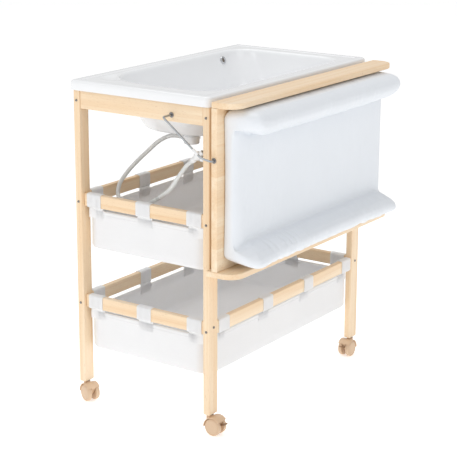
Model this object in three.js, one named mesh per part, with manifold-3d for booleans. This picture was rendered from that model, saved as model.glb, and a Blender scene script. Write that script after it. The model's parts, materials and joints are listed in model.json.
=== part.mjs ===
// Changing table with a baby bath: a beech frame on casters, two hung fabric baskets,
// a moulded bath tub with its drain hose, and a changing board on two swing arms.
// Millimetres. +Z up, +X along the long side, -Y is the side the changing board hangs on.
// The table is laid out about the middle of its frame and moved as one at the end, so that
// the origin is on the floor under the middle of everything, the hanging mat included.
import * as THREE from 'three';
import { mergeVertices } from 'three/addons/utils/BufferGeometryUtils.js';
import Module from 'manifold-3d';

const wasm = await Module();
wasm.setup();

// ---- driving dimensions -------------------------------------------------------------
const frameLength = 816;      // outside the posts, X
const frameWidth = 470;       // outside the posts, Y
const frameTop = 935;         // top of posts and top rails
const wheelRadius = 25;
const wheelToPost = 8;        // casters' room between the wheels and the posts
const postBottom = 2 * wheelRadius + wheelToPost;
const postWidth = 40;         // X
const postDepth = 22;         // Y
const woodEdge = 3;           // rounded edge of posts and rails
const gap = 0.3;              // between pieces that touch

const topRailDepth = 57;
const topRailThick = 19;
const topRailInset = 2;       // behind the outer faces of the posts
const basketRailDepth = 38;
const basketRailThick = 18;
const upperRailTop = 631;
const lowerRailTop = 327;

const rimOverTop = 25;        // highest face of the bath above the frame
const rimTop = frameTop + rimOverTop;
const rimOverEnd = 13;        // bath beyond the posts, X
const rimOverSide = 7;        // bath beyond the posts, Y
const skirtOverlap = 3;       // rim's skirt below the top of the frame
const skirtBottom = frameTop - skirtOverlap;
const rimCorner = 18;
const tubWall = 4;
const ledgeLeft = 66;         // from the frame's outside to the mouth of the bath
const ledgeRight = 54;
const ledgeSide = 43;
const ledgeCorner = 150;      // back left corner of the mouth, wide for the soap dish
const mouthCorner = 75;       // its other corners
const bathDepth = 144;        // rim to floor, inside
const floorInside = rimTop - bathDepth;
const restRib = [14, 22];     // rib that stands on the rails, in from the rim's outside
const drainFromEnd = 196;
const drainX = drainFromEnd - frameLength / 2;
const drainY = -34;
const drainHole = 18;         // radius
const cupDepth = 37;          // drain cup below the bath floor
const cupRadius = 23;
const overflowFromEnd = 146;
const overflowX = frameLength / 2 - overflowFromEnd;
const hoseDiameter = 12;
const spigotY = 44;           // end of the spigot from the middle of the drain
const spigotDrop = 26;        // spigot below the bath floor
const spigotZ = floorInside - spigotDrop;
const clipFromPost = 29;      // middle of the hose clip from the post's inner face
const clipBelowTop = 145;
const clipZ = frameTop - clipBelowTop;
const clipEye = 6.8;          // radius of the hose end held in the clip
const clipTilt = 50 * Math.PI / 180;
const hoseEndFoot = 26;       // from the clip back to where the hose starts

const basketHeight = 116;     // fabric wall
const basketDrop = 9;         // fabric starts this far below its rails
const basketWall = 2.4;
const basketInset = 7;        // side walls stand in from the long rails
const basketCorner = 46;
const loopWidth = 50;
const loopCloth = 1.8;
const sideLoopInset = 33;     // outer loops from the ends of the long rails
const endLoopInset = 37;      // and of the end rails

const boardOverEnd = 23;      // changing board beyond the posts, X
const boardLength = frameLength + 2 * boardOverEnd;
const boardThick = 19;
const boardOverWidth = 10;    // taller than the frame is wide
const boardHeight = frameWidth + boardOverWidth;   // over both side boards
const sideBoardThick = 16;
const sideBoardDepth = 81;    // proud of the back of the changing board
const sideBoardCorner = 46;
const boardUnderRim = 8;      // top of the upper side board below the rim when the unit hangs
const boardTop = rimTop - boardUnderRim;
const boardFromFrame = 22;    // its back face before the posts when it hangs
const boardBack = -(frameWidth / 2 + boardFromFrame);
const lipDepth = 18.5;        // lower side board runs this far behind the board
const lipClear = 2;           // lip to bath rim when the unit lies on the bath
const restClear = 0.5;        // board to bath rim when it lies on the bath

const matFromEnd = 28;        // mat in from the ends of the board
const matLength = boardLength - 2 * matFromEnd;
const matThick = 35;          // flat part
const bolsterProud = 110;     // tip of the bolsters from the board

const pivotFromSide = 126;    // arm pivot in the end rails, in from the posts' outside
const pivotBelowTop = 38;
const pivotY = pivotFromSide - frameWidth / 2;
const pivotZ = frameTop - pivotBelowTop;
const armDiameter = 6;
const armOverBoard = 14;
const armPlane = boardLength / 2 + armOverBoard;   // arms swing in the planes X = +-armPlane
const armClear = 0.3;         // running clearance in the bushes
const armBend = 7;
const crankRun = 32;          // level stretch of the arm before the board
const bushNeck = 5.5;         // radius
const bushFlange = 7.5;
const boardBushLength = 22;

const wheelThick = 13;
const wheelGap = 14;          // between the two wheels of a caster
const casterTrail = 18;       // wheel axle behind the swivel axis
const stemRadius = 4;
const stemUp = 26;            // into the post
const axleRadius = 3;
const brakeLift = 0.11 * Math.PI;
const brakeInset = 6;
const brakePivot = wheelRadius - brakeInset;   // from the axle
const casterTurn = { front_left: -90, front_right: 180, back_left: -110, back_right: -105 };   // degrees
const brakedCasters = ['front_left', 'front_right'];

// ---- colours ------------------------------------------------------------------------
const beech = { color: 0xe8cba4, roughness: 0.5, metalness: 0 };
const tubWhite = { color: 0xf4f5f6, roughness: 0.22, metalness: 0 };
const clothWhite = { color: 0xeeeef2, roughness: 0.9, metalness: 0 };
const vinylWhite = { color: 0xe6eaf0, roughness: 0.45, metalness: 0 };
const steel = { color: 0xa9aeb4, roughness: 0.3, metalness: 1 };
const casterTan = { color: 0xd2a67c, roughness: 0.45, metalness: 0 };
const casterDark = { color: 0x6a5648, roughness: 0.6, metalness: 0 };
const hoseClear = { color: 0xc6cacb, roughness: 0.35, metalness: 0 };

// ---- helpers ------------------------------------------------------------------------
const table = new THREE.Group();

function put(name, geometry, look, place) {
  const mesh = new THREE.Mesh(geometry, new THREE.MeshStandardMaterial(look));
  mesh.name = name;
  if (place) mesh.position.set(...place);
  table.add(mesh);
  return mesh;
}

function bare(geometry) {
  const copy = geometry.clone();
  copy.deleteAttribute('normal');
  copy.deleteAttribute('uv');
  return mergeVertices(copy, 1e-4);
}

function solid(geometry) {
  const g = bare(geometry);
  const triVerts = Uint32Array.from(g.index.array);
  const vertProperties = Float32Array.from(g.attributes.position.array);
  return new wasm.Manifold(new wasm.Mesh({ numProp: 3, vertProperties, triVerts }));
}

function fromSolid(body) {
  const m = body.getMesh();
  const g = new THREE.BufferGeometry();
  g.setAttribute('position', new THREE.BufferAttribute(Float32Array.from(m.vertProperties), 3));
  g.setIndex(Array.from(m.triVerts));
  g.computeVertexNormals();
  return g;
}

function join(...geometries) {
  return fromSolid(geometries.map(solid).reduce((a, b) => a.add(b)));
}

function cut(geometry, ...tools) {
  return fromSolid(tools.map(solid).reduce((a, b) => a.subtract(b), solid(geometry)));
}

function block(x0, x1, y0, y1, z0, z1) {
  const g = new THREE.BoxGeometry(x1 - x0, y1 - y0, z1 - z0);
  return g.translate((x0 + x1) / 2, (y0 + y1) / 2, (z0 + z1) / 2);
}

function roundedShape(width, height, radius) {
  const w = width / 2;
  const h = height / 2;
  const shape = new THREE.Shape();
  shape.moveTo(w - radius, -h);
  shape.absarc(w - radius, -h + radius, radius, -Math.PI / 2, 0);
  shape.absarc(w - radius, h - radius, radius, 0, Math.PI / 2);
  shape.absarc(-w + radius, h - radius, radius, Math.PI / 2, Math.PI);
  shape.absarc(-w + radius, -h + radius, radius, Math.PI, Math.PI * 1.5);
  return shape;
}

// bar of rounded section: along 'x', 'y' or 'z', between from and to on that axis
function bar(axis, from, to, [centreA, centreB], [sizeA, sizeB]) {
  const shape = roundedShape(sizeA, sizeB, woodEdge);
  const g = new THREE.ExtrudeGeometry(shape, { depth: to - from, bevelEnabled: false, curveSegments: 2 });
  g.translate(centreA, centreB, from);
  if (axis === 'x') g.applyMatrix4(new THREE.Matrix4().makeBasis(
    new THREE.Vector3(0, 1, 0), new THREE.Vector3(0, 0, 1), new THREE.Vector3(1, 0, 0)));
  if (axis === 'y') g.applyMatrix4(new THREE.Matrix4().makeBasis(
    new THREE.Vector3(0, 0, 1), new THREE.Vector3(1, 0, 0), new THREE.Vector3(0, 1, 0)));
  return g;
}

function rod(axis, radius, end0, end1, a, b, sides = 16) {
  const g = new THREE.CylinderGeometry(radius, radius, Math.abs(end1 - end0), sides);
  const middle = (end0 + end1) / 2;
  if (axis === 'x') return g.rotateZ(-Math.PI / 2).translate(middle, a, b);
  if (axis === 'y') return g.translate(a, middle, b);
  return g.rotateX(Math.PI / 2).translate(a, b, middle);
}

function turned(profile, segments = 24) {
  const points = profile.map(([r, z]) => new THREE.Vector2(r, z));
  return new THREE.LatheGeometry(points, segments).rotateX(Math.PI / 2);
}

function tube(points, radius, sides, steps) {
  const curve = new THREE.CatmullRomCurve3(points.map(p => new THREE.Vector3(...p)), false, 'centripetal');
  const section = new THREE.Shape();
  section.absarc(0, 0, radius, 0, Math.PI * 2);
  return new THREE.ExtrudeGeometry(section, { steps, extrudePath: curve, curveSegments: sides });
}

// closed outline with its own radius at each corner, as a ring of points at height z
const cornerSteps = 6;
function ring({ x0, x1, y0, y1, r }, grow, z) {
  const [rightBack, leftBack, leftFront, rightFront] = r.map(v => Math.max(v + grow, 1));
  const corners = [
    [x1 + grow - rightBack, y1 + grow - rightBack, rightBack, 0],
    [x0 - grow + leftBack, y1 + grow - leftBack, leftBack, 1],
    [x0 - grow + leftFront, y0 - grow + leftFront, leftFront, 2],
    [x1 + grow - rightFront, y0 - grow + rightFront, rightFront, 3],
  ];
  return corners.flatMap(([cx, cy, radius, quarter]) =>
    Array.from({ length: cornerSteps + 1 }, (_, i) => {
      const a = (quarter + i / cornerSteps) * Math.PI / 2;
      return [cx + radius * Math.cos(a), cy + radius * Math.sin(a), z];
    }));
}

// skin through a stack of rings, from the outside bottom up and back down the inside,
// closed at both ends by a fan
function loft(rings) {
  const n = rings[0].length;
  const positions = rings.flat(2);
  const index = [];
  for (let k = 0; k + 1 < rings.length; k += 1) {
    for (let i = 0; i < n; i += 1) {
      const a = k * n + i;
      const b = k * n + (i + 1) % n;
      index.push(a, b, b + n, a, b + n, a + n);
    }
  }
  const middle = ringPoints => ringPoints[0].map((_, axis) =>
    ringPoints.reduce((sum, p) => sum + p[axis], 0) / n);
  const first = rings.length * n;
  positions.push(...middle(rings[0]), ...middle(rings[rings.length - 1]));
  const last = (rings.length - 1) * n;
  for (let i = 0; i < n; i += 1) {
    const j = (i + 1) % n;
    index.push(first, j, i, first + 1, last + i, last + j);
  }
  const g = new THREE.BufferGeometry();
  g.setAttribute('position', new THREE.Float32BufferAttribute(positions, 3));
  g.setIndex(index);
  g.computeVertexNormals();
  return g;
}

// ---- places worked out from the driving dimensions -------------------------------------
const halfL = frameLength / 2;
const halfW = frameWidth / 2;
const postX = halfL - postWidth / 2;
const postY = halfW - postDepth / 2;
const sides = [['left', -1], ['right', 1]];
const faces = [['front', -1], ['back', 1]];
const corners = faces.flatMap(([face, y]) => sides.map(([side, x]) => [`${face}_${side}`, x, y]));
const rimX = halfL + rimOverEnd;
const rimY = halfW + rimOverSide;

// ---- frame ------------------------------------------------------------------------------
function makeFrame() {
  const socket = stemRadius + gap;
  for (const [corner, x, y] of corners) {
    const post = bar('z', postBottom, frameTop, [x * postX, y * postY], [postWidth, postDepth]);
    const bore = rod('z', socket, postBottom - 1, postBottom + stemUp + 1, x * postX, y * postY, 12);
    put(`post_${corner}`, cut(post, bore), beech);
  }
  const endReach = halfW - postDepth - gap;
  const sideReach = halfL - postWidth - gap;
  const topZ = frameTop - topRailDepth / 2;
  for (const [side, x] of sides) {
    const centre = x * (halfL - topRailInset - topRailThick / 2);
    const rail = bar('y', -endReach, endReach, [topZ, centre], [topRailDepth, topRailThick]);
    const bore = rod('x', bushNeck + gap, centre - topRailThick, centre + topRailThick, pivotY, pivotZ);
    put(`top_rail_${side}`, cut(rail, bore), beech);
  }
  for (const [face, y] of faces) {
    const centre = y * (halfW - topRailInset - topRailThick / 2);
    const size = [topRailThick, topRailDepth];
    put(`top_rail_${face}`, bar('x', -sideReach, sideReach, [centre, topZ], size), beech);
  }
  for (const [level, top] of [['upper', upperRailTop], ['lower', lowerRailTop]]) {
    const z = top - basketRailDepth / 2;
    for (const [side, x] of sides) {
      const size = [basketRailDepth, basketRailThick];
      put(`${level}_rail_${side}`, bar('y', -endReach, endReach, [z, x * postX], size), beech);
    }
    for (const [face, y] of faces) {
      const size = [basketRailThick, basketRailDepth];
      put(`${level}_rail_${face}`, bar('x', -sideReach, sideReach, [y * postY, z], size), beech);
    }
  }
}

// ---- bath tub ------------------------------------------------------------------------
const rimOutline = { x0: -rimX, x1: rimX, y0: -rimY, y1: rimY, r: Array(4).fill(rimCorner) };
const openOutline = {
  x0: -(halfL - ledgeLeft), x1: halfL - ledgeRight, y0: -(halfW - ledgeSide), y1: halfW - ledgeSide,
  r: [mouthCorner, ledgeCorner, mouthCorner, mouthCorner],
};
const heelOutline = {
  x0: openOutline.x0 + 43, x1: openOutline.x1 - 30, y0: openOutline.y0 + 37, y1: openOutline.y1 - 37,
  r: [100, 150, 100, 100],
};
const heelZ = floorInside + 22;
const wallTopZ = rimTop - 20;
const floorOutline = {
  x0: heelOutline.x0 + 24, x1: heelOutline.x1 - 24, y0: heelOutline.y0 + 26, y1: heelOutline.y1 - 26,
  r: [80, 120, 80, 80],
};

function makeTub() {
  const under = frameTop + gap;
  const ledge = rimTop - tubWall;
  const shell = loft([
    ring(floorOutline, 0, floorInside - tubWall),
    ring(floorOutline, 14 + 2, floorInside - tubWall + 4),
    ring(heelOutline, tubWall, heelZ - 2),
    ring(openOutline, tubWall, wallTopZ - 2),
    ring(openOutline, 7 + tubWall, ledge - 3),
    ring(openOutline, 13, ledge),
    ring(rimOutline, -restRib[1], ledge),
    ring(rimOutline, -restRib[1], under),
    ring(rimOutline, -restRib[0], under),
    ring(rimOutline, -restRib[0], ledge),
    ring(rimOutline, -8, ledge),
    ring(rimOutline, -tubWall, ledge - 4),
    ring(rimOutline, -tubWall, skirtBottom),
    ring(rimOutline, 0, skirtBottom),
    ring(rimOutline, 0, rimTop - 8),
    ring(rimOutline, -2.4, rimTop - 2.4),
    ring(rimOutline, -8, rimTop),
    ring(openOutline, 13, rimTop),
    ring(openOutline, 7, rimTop - 1.5),
    ring(openOutline, 2, rimTop - 7),
    ring(openOutline, 0, wallTopZ),
    ring(heelOutline, 0, heelZ),
    ring(floorOutline, 14, floorInside + 4),
    ring(floorOutline, 0, floorInside),
  ]);
  const hole = rod('z', drainHole, floorInside - 30, floorInside + 30, drainX, drainY, 18);
  put('bath_tub', cut(shell, hole), tubWhite);

  // drain cup below the floor, its neck in the hole, its spigot towards the back
  const neck = drainHole - gap;
  const bore = neck - 3;
  const under1 = floorInside - tubWall - gap;
  const cupBottom = under1 - cupDepth;
  const flange = cupRadius + 7;
  const cup = turned([[0, cupBottom], [cupRadius - 2, cupBottom], [cupRadius, cupBottom + 3],
    [cupRadius, under1 - 12], [flange, under1 - 10], [flange, under1], [neck, under1], [neck, floorInside],
    [bore, floorInside], [bore, cupBottom + 5], [0, cupBottom + 5]], 18);
  cup.translate(drainX, drainY, 0);
  const spigot = rod('y', hoseDiameter / 2, drainY + bore + 3, hoseStart[1] - gap, drainX, hoseStart[2], 12);
  put('drain_cup', join(cup, spigot), tubWhite);

  const seat = bore - gap;
  const lid = floorInside + gap;
  const plug = turned([[0, lid - 12], [seat - 1, lid - 12], [seat, lid], [neck + 2, lid], [neck + 2, lid + 2],
    [5, lid + 4], [4, lid + 9], [6.5, lid + 12], [0, lid + 15.5]], 14);
  put('drain_plug', plug, { ...casterDark, color: 0xe3e4e6 }, [drainX, drainY, 0]);

  // overflow ring, standing 1 mm off the sloping back wall
  const slope = Math.atan2(openOutline.y1 - heelOutline.y1, wallTopZ - heelZ);
  const ringZ = wallTopZ - 9;
  const wallY = openOutline.y1 - Math.tan(slope) * (wallTopZ - ringZ);
  const overflow = turned([[6.5, 0], [11, 0], [13, 1.2], [12, 2.6], [8, 3], [6.5, 0]], 16);
  overflow.rotateX(Math.PI / 2 - slope);
  put('overflow_ring', overflow, steel, [overflowX, wallY - 1, ringZ]);
}

// ---- drain hose ----------------------------------------------------------------------
// From the spigot it drops in a bow over the upper basket and climbs to the clip on the
// front left post, where its end leans the way that the hose comes up.
const clipX = -postX;
const clipY = -(halfW - postDepth) + clipFromPost;
const onHoseEnd = along => [clipX, clipY - Math.sin(clipTilt) * along, clipZ + Math.cos(clipTilt) * along];
const hoseStart = [drainX, drainY + spigotY, spigotZ];
const hosePath = [
  hoseStart, [drainX, 26, spigotZ], [-212, 46, 786], [-218, 77, 769], [-231, 113, 734], [-245, 139, 705],
  [-263, 163, 671], [-285, 172, 641], [-306, 161, 615], [-323, 132, 597], [-335, 86, 596], [-343, 48, 606],
  [-349, 13, 621], [-355, -23, 642], [-363, -53, 661], [-372, -77, 679], [-380, -94, 695], [-385, -113, 718],
  onHoseEnd(-hoseEndFoot - gap - 22), onHoseEnd(-hoseEndFoot - gap),
];

function makeHose() {
  put('drain_hose', tube(hosePath, hoseDiameter / 2, 4, 40), hoseClear);
  const foot = -hoseEndFoot;
  const fitting = turned([[0, foot], [7, foot], [8.2, foot + 2], [8.2, foot + 12], [clipEye, foot + 13],
    [clipEye, foot + 46], [5, foot + 47], [5, foot + 30], [0, foot + 30]], 12);
  put('hose_end', fitting.rotateX(clipTilt), tubWhite, [clipX, clipY, clipZ]);
  const face = -(halfW - postDepth) + gap;
  const half = 7;
  const arm = block(clipX - 5, clipX + 5, face, clipY - clipEye - 1, clipZ - 13, clipZ - 1);
  const plate = block(clipX - 9, clipX + 9, face, face + 3, clipZ - 22, clipZ + 10);
  const collar = rod('z', clipEye + 4.5, -half, half, 0, 0, 20);
  const eye = rod('z', clipEye + gap, -half - 2, half + 2, 0, 0, 20);
  for (const g of [collar, eye]) g.rotateX(clipTilt).translate(clipX, clipY, clipZ);
  put('hose_clip', cut(join(arm, plate, collar), eye), tubWhite);
}

// ---- fabric baskets ------------------------------------------------------------------
const sideLoops = [-1, -1 / 3, 1 / 3, 1].map(t => t * (halfL - postWidth - sideLoopInset));
const endLoops = [-1, 0, 1].map(t => t * (halfW - postDepth - endLoopInset));

// loop of cloth round a rail that runs along X at y = rail, and the strap down to the wall at y = wall
function basketLoop(along, rail, wall, top, railMiddle) {
  const inner = [basketRailThick / 2 + gap, basketRailDepth / 2 + gap];
  const outer = inner.map(v => v + loopCloth);
  const half = loopWidth / 2;
  const inside = wall - Math.sign(wall) * basketWall;
  const band = block(along - half, along + half, rail - outer[0], rail + outer[0],
    railMiddle - outer[1], railMiddle + outer[1]);
  const hollow = block(along - loopWidth, along + loopWidth, rail - inner[0], rail + inner[0],
    railMiddle - inner[1], railMiddle + inner[1]);
  const strap = block(along - half, along + half, Math.min(wall, inside, rail), Math.max(wall, inside, rail),
    railMiddle - outer[1] - 0.5, railMiddle - outer[1] + 1);
  const drop = block(along - half, along + half, Math.min(wall, inside), Math.max(wall, inside),
    top - 6, railMiddle - outer[1] + 1);
  return join(cut(band, hollow), strap, drop);
}

function makeBaskets() {
  const wallY = postY - basketInset;
  const outline = { x0: -postX, x1: postX, y0: -wallY, y1: wallY, r: Array(4).fill(basketCorner) };
  for (const [level, railTop] of [['upper', upperRailTop], ['lower', lowerRailTop]]) {
    const middle = railTop - basketRailDepth / 2;
    const top = railTop - basketRailDepth - basketDrop;
    const floor = top - basketHeight;
    const bag = loft([
      ring(outline, -6, floor),
      ring(outline, 0, floor + 8),
      ring(outline, 0, top),
      ring(outline, -basketWall, top),
      ring(outline, -basketWall, floor + 9),
      ring(outline, -6 - basketWall, floor + basketWall),
    ]);
    const loops = faces.flatMap(([, s]) => sideLoops.map(x =>
      basketLoop(x, s * postY, s * wallY, top, middle)));
    for (const [, s] of sides) {
      for (const y of endLoops) {
        loops.push(basketLoop(y, s * postX, s * postX, top, middle).rotateZ(-Math.PI / 2));
      }
    }
    put(`${level}_basket`, join(bag, ...loops), clothWhite);
  }
}

// ---- changing board and its swing arms -------------------------------------------------
// The board hangs at the front and swings over the bath. Equal arm lengths hanging and
// lying give the height of the board pivot below the top of the unit.
const boardPivotY = boardBack - boardThick / 2;
const lieTopY = boardHeight - sideBoardThick - rimY - lipClear;
const lieZ = rimTop + restClear + boardThick / 2;
const hangRise = pivotZ - boardTop;
const lieReach = lieTopY - pivotY;
const pivotDown = (lieReach ** 2 + (lieZ - pivotZ) ** 2 - (pivotY - boardPivotY) ** 2 - hangRise ** 2)
  / (2 * (hangRise + lieReach));
const boardPivotZ = boardTop - pivotDown;

function sideBoard(z0, depth, back) {
  const w = boardLength / 2;
  const r = sideBoardCorner;
  const front = boardBack - sideBoardDepth + 4;
  const outline = new THREE.Shape();
  outline.moveTo(-w, back);
  outline.lineTo(-w, front + r);
  outline.absarc(-w + r, front + r, r, Math.PI, Math.PI * 1.5);
  outline.absarc(w - r, front + r, r, Math.PI * 1.5, Math.PI * 2);
  outline.lineTo(w, back);
  const edge = 2;
  return new THREE.ExtrudeGeometry(outline, {
    depth: depth - 2 * edge, curveSegments: 5, bevelEnabled: true,
    bevelThickness: edge, bevelSize: edge, bevelOffset: -edge, bevelSegments: 1,
  }).translate(0, 0, z0 + edge);
}

function matSection() {
  const front = boardBack - boardThick - gap;
  const face = front - matThick;
  const tip = front - bolsterProud;
  const low = boardTop - boardHeight + sideBoardThick;
  const high = boardTop - sideBoardThick;
  const s = new THREE.Shape();      // (y, z)
  s.moveTo(front, low + 36);
  s.quadraticCurveTo(front - 6, low + 27, front - 24, low + 24);
  s.lineTo(tip + 14, low + 13);
  s.absarc(tip + 12, low + 25, 12, -Math.PI / 2 + 0.1, -Math.PI * 1.35, true);
  s.quadraticCurveTo(face - 22, low + 60, face, low + 69);
  s.lineTo(face, high - 82);
  s.quadraticCurveTo(face - 20, high - 76, tip + 9, high - 60);
  s.absarc(tip + 13, high - 48, 13, -Math.PI * 0.7, -Math.PI * 1.42, true);
  s.lineTo(front - 30, high - 8);
  s.quadraticCurveTo(front - 6, high - 4, front, high - 10);
  return s;
}

function makeBoard() {
  const w = boardLength / 2;
  const hangBottom = boardTop - boardHeight;
  const front = boardBack - boardThick;
  const panel = block(-w, w, front, boardBack, hangBottom + sideBoardThick + gap, boardTop - sideBoardThick - gap);
  const bores = sides.map(([, x]) => rod('x', bushNeck + gap, x * (w - boardBushLength - 3), x * (w + 4),
    boardPivotY, boardPivotZ));
  put('changing_board', cut(panel, ...bores), beech);
  put('side_board_top', sideBoard(boardTop - sideBoardThick, sideBoardThick, boardBack), beech);
  put('side_board_bottom', sideBoard(hangBottom, sideBoardThick, boardBack + lipDepth), beech);
  const pad = new THREE.ExtrudeGeometry(matSection(), { depth: matLength, bevelEnabled: false, curveSegments: 4 });
  pad.applyMatrix4(new THREE.Matrix4().makeBasis(
    new THREE.Vector3(0, 1, 0), new THREE.Vector3(0, 0, 1), new THREE.Vector3(1, 0, 0)));
  put('changing_mat', pad.translate(-matLength / 2, 0, 0), vinylWhite);
}

// flanged bush along X, flange outside at x = face, open through for the arm
function bush(x, face, y, z, length) {
  const open = armDiameter / 2 + armClear;
  const outside = Math.sign(x);
  const shape = turned([[open, -length], [bushNeck, -length], [bushNeck, gap], [bushFlange, gap],
    [bushFlange, 2], [bushNeck + 1, 3], [open, 3], [open, -length]], 12);
  shape.rotateY(outside * Math.PI / 2);
  return shape.translate(outside * face, y, z);
}

function makeArms() {
  const railFace = halfL - topRailInset;
  const railBack = railFace - topRailThick;
  for (const [side, x] of sides) {
    put(`rail_bush_${side}`, bush(x, railFace, pivotY, pivotZ, topRailThick), steel);
    put(`board_bush_${side}`, bush(x, boardLength / 2, boardPivotY, boardPivotZ, boardBushLength), steel);
    const inner = x * (railBack - 8);
    const plane = x * armPlane;
    const boardEnd = x * (boardLength / 2 - boardBushLength + 5);
    const crank = [boardPivotY + crankRun, boardPivotZ + 5];
    const run = new THREE.Vector2(crank[0] - pivotY, crank[1] - pivotZ).normalize();
    const path = [
      [inner, pivotY, pivotZ], [plane - x * armBend * 2, pivotY, pivotZ], [plane - x * armBend, pivotY, pivotZ],
      [plane - x * 1.6, pivotY + run.x * 2, pivotZ + run.y * 2],
      [plane, pivotY + run.x * armBend, pivotZ + run.y * armBend],
      [plane, pivotY + run.x * armBend * 2, pivotZ + run.y * armBend * 2],
      [plane, crank[0] - run.x * armBend * 2, crank[1] - run.y * armBend * 2],
      [plane, crank[0] - run.x * armBend * 0.8, crank[1] - run.y * armBend * 0.8],
      [plane, crank[0] - armBend * 0.9, crank[1] - 0.6],
      [plane, boardPivotY + armBend * 1.3, boardPivotZ + 1.6],
      [plane - x * 1.6, boardPivotY + 2.2, boardPivotZ + 0.3],
      [plane - x * armBend, boardPivotY, boardPivotZ], [plane - x * armBend * 1.6, boardPivotY, boardPivotZ],
      [boardEnd, boardPivotY, boardPivotZ],
    ];
    put(`swing_arm_${side}`, tube(path, armDiameter / 2, 4, 34), steel);
    const cap = turned([[0, gap], [6, gap], [6, 4], [4, 6], [0, 6]], 10).rotateY(-x * Math.PI / 2);
    put(`arm_cap_${side}`, cap, casterDark, [inner, pivotY, pivotZ]);
  }
}

// ---- casters ----------------------------------------------------------------------------
// In caster space the swivel axis is Z through the origin, the wheels trail along +X and turn about Y.
function casterHood() {
  const halfSpan = wheelGap / 2 + wheelThick;
  const inner = wheelRadius + 1.5;
  const outer = inner + 2.5;
  const cover = new THREE.Shape();
  const a0 = 0.22 * Math.PI;
  const a1 = 1.02 * Math.PI;
  cover.absarc(0, 0, outer, a0, a1);
  cover.absarc(0, 0, inner, a1, a0, true);
  const shell = new THREE.ExtrudeGeometry(cover, { depth: 2 * halfSpan, bevelEnabled: false, curveSegments: 6 });
  shell.rotateX(Math.PI / 2).translate(casterTrail, halfSpan, wheelRadius);
  const webShape = new THREE.Shape();
  webShape.absarc(0, 0, outer - 1, a0, a1);
  webShape.absarc(0, 0, 9, a1 + 0.2 * Math.PI, a0 + 1.6 * Math.PI);
  const web = new THREE.ExtrudeGeometry(webShape, { depth: wheelGap - 3, bevelEnabled: false, curveSegments: 5 });
  web.rotateX(Math.PI / 2).translate(casterTrail, wheelGap / 2 - 1.5, wheelRadius);
  const bossHalf = wheelGap / 2 - 0.5;
  const boss = block(-10, 10, -bossHalf, bossHalf, wheelRadius + 8, postBottom - 4);
  const collar = rod('z', 10, inner + wheelRadius + 0.5, postBottom - 3, 0, 0, 16);
  const stemHole = rod('z', stemRadius + gap, wheelRadius + 14, postBottom, 0, 0, 12);
  const axleHole = rod('y', axleRadius + gap, -halfSpan, halfSpan, casterTrail, wheelRadius, 12);
  const pinch = block(-12, casterTrail + 40, -halfSpan - 1, halfSpan + 1, -5, 4);
  return cut(join(shell, web, boss, collar), stemHole, axleHole, pinch);
}

function casterWheel() {
  const bore = axleRadius + gap;
  return turned([[bore, 0], [wheelRadius - 1.5, 0], [wheelRadius, 1.5], [wheelRadius, wheelThick - 2.5],
    [wheelRadius - 2.5, wheelThick], [7, wheelThick - 2.4],
    [bore, wheelThick - 2.4], [bore, 0]], 20);
}

function brakeLever() {
  const neck = block(brakePivot - 1.3, wheelRadius + 8, -3, 3, -1.8, 1.8);
  const pedal = block(wheelRadius + 4, wheelRadius + 12, -9, 9, -2, 2);
  const lever = join(neck, pedal);
  lever.rotateY(-brakeLift);
  return lever.translate(casterTrail, 0, wheelRadius);
}

function makeCasters() {
  for (const [corner, x, y] of corners) {
    const group = new THREE.Group();
    group.position.set(x * postX, y * postY, 0);
    group.rotation.z = THREE.MathUtils.degToRad(casterTurn[corner]);
    table.add(group);
    const add = (name, geometry, look) => group.add(put(name, geometry, look));
    const stem = turned([[0, wheelRadius + 16], [stemRadius, wheelRadius + 16], [stemRadius, postBottom - 2.4],
      [9, postBottom - 2.4], [9, postBottom - gap], [stemRadius, postBottom - gap],
      [stemRadius, postBottom + stemUp - 1], [0, postBottom + stemUp]], 12);
    add(`caster_stem_${corner}`, stem, steel);
    add(`caster_hood_${corner}`, casterHood(), casterTan);
    const halfAxle = wheelGap / 2 + wheelThick - 3;
    add(`caster_axle_${corner}`, rod('y', axleRadius, -halfAxle, halfAxle, casterTrail, wheelRadius, 12), steel);
    for (const [name, s] of [['a', -1], ['b', 1]]) {
      const wheel = casterWheel().rotateX(-s * Math.PI / 2);
      wheel.translate(casterTrail, s * wheelGap / 2, wheelRadius);
      add(`caster_wheel_${name}_${corner}`, wheel, casterTan);
    }
    if (brakedCasters.includes(corner)) add(`brake_lever_${corner}`, brakeLever(), casterDark);
  }
}

makeFrame();
makeTub();
makeHose();
makeBaskets();
makeBoard();
makeArms();
makeCasters();

const whole = new THREE.Box3().setFromObject(table, true);
table.position.y = -(whole.min.y + whole.max.y) / 2;

export default table;
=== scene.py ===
# Changing table with a baby bath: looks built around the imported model.
import json
import math
import random

import bmesh
import bpy
import numpy as np
from mathutils import Matrix, Vector, noise


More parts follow.
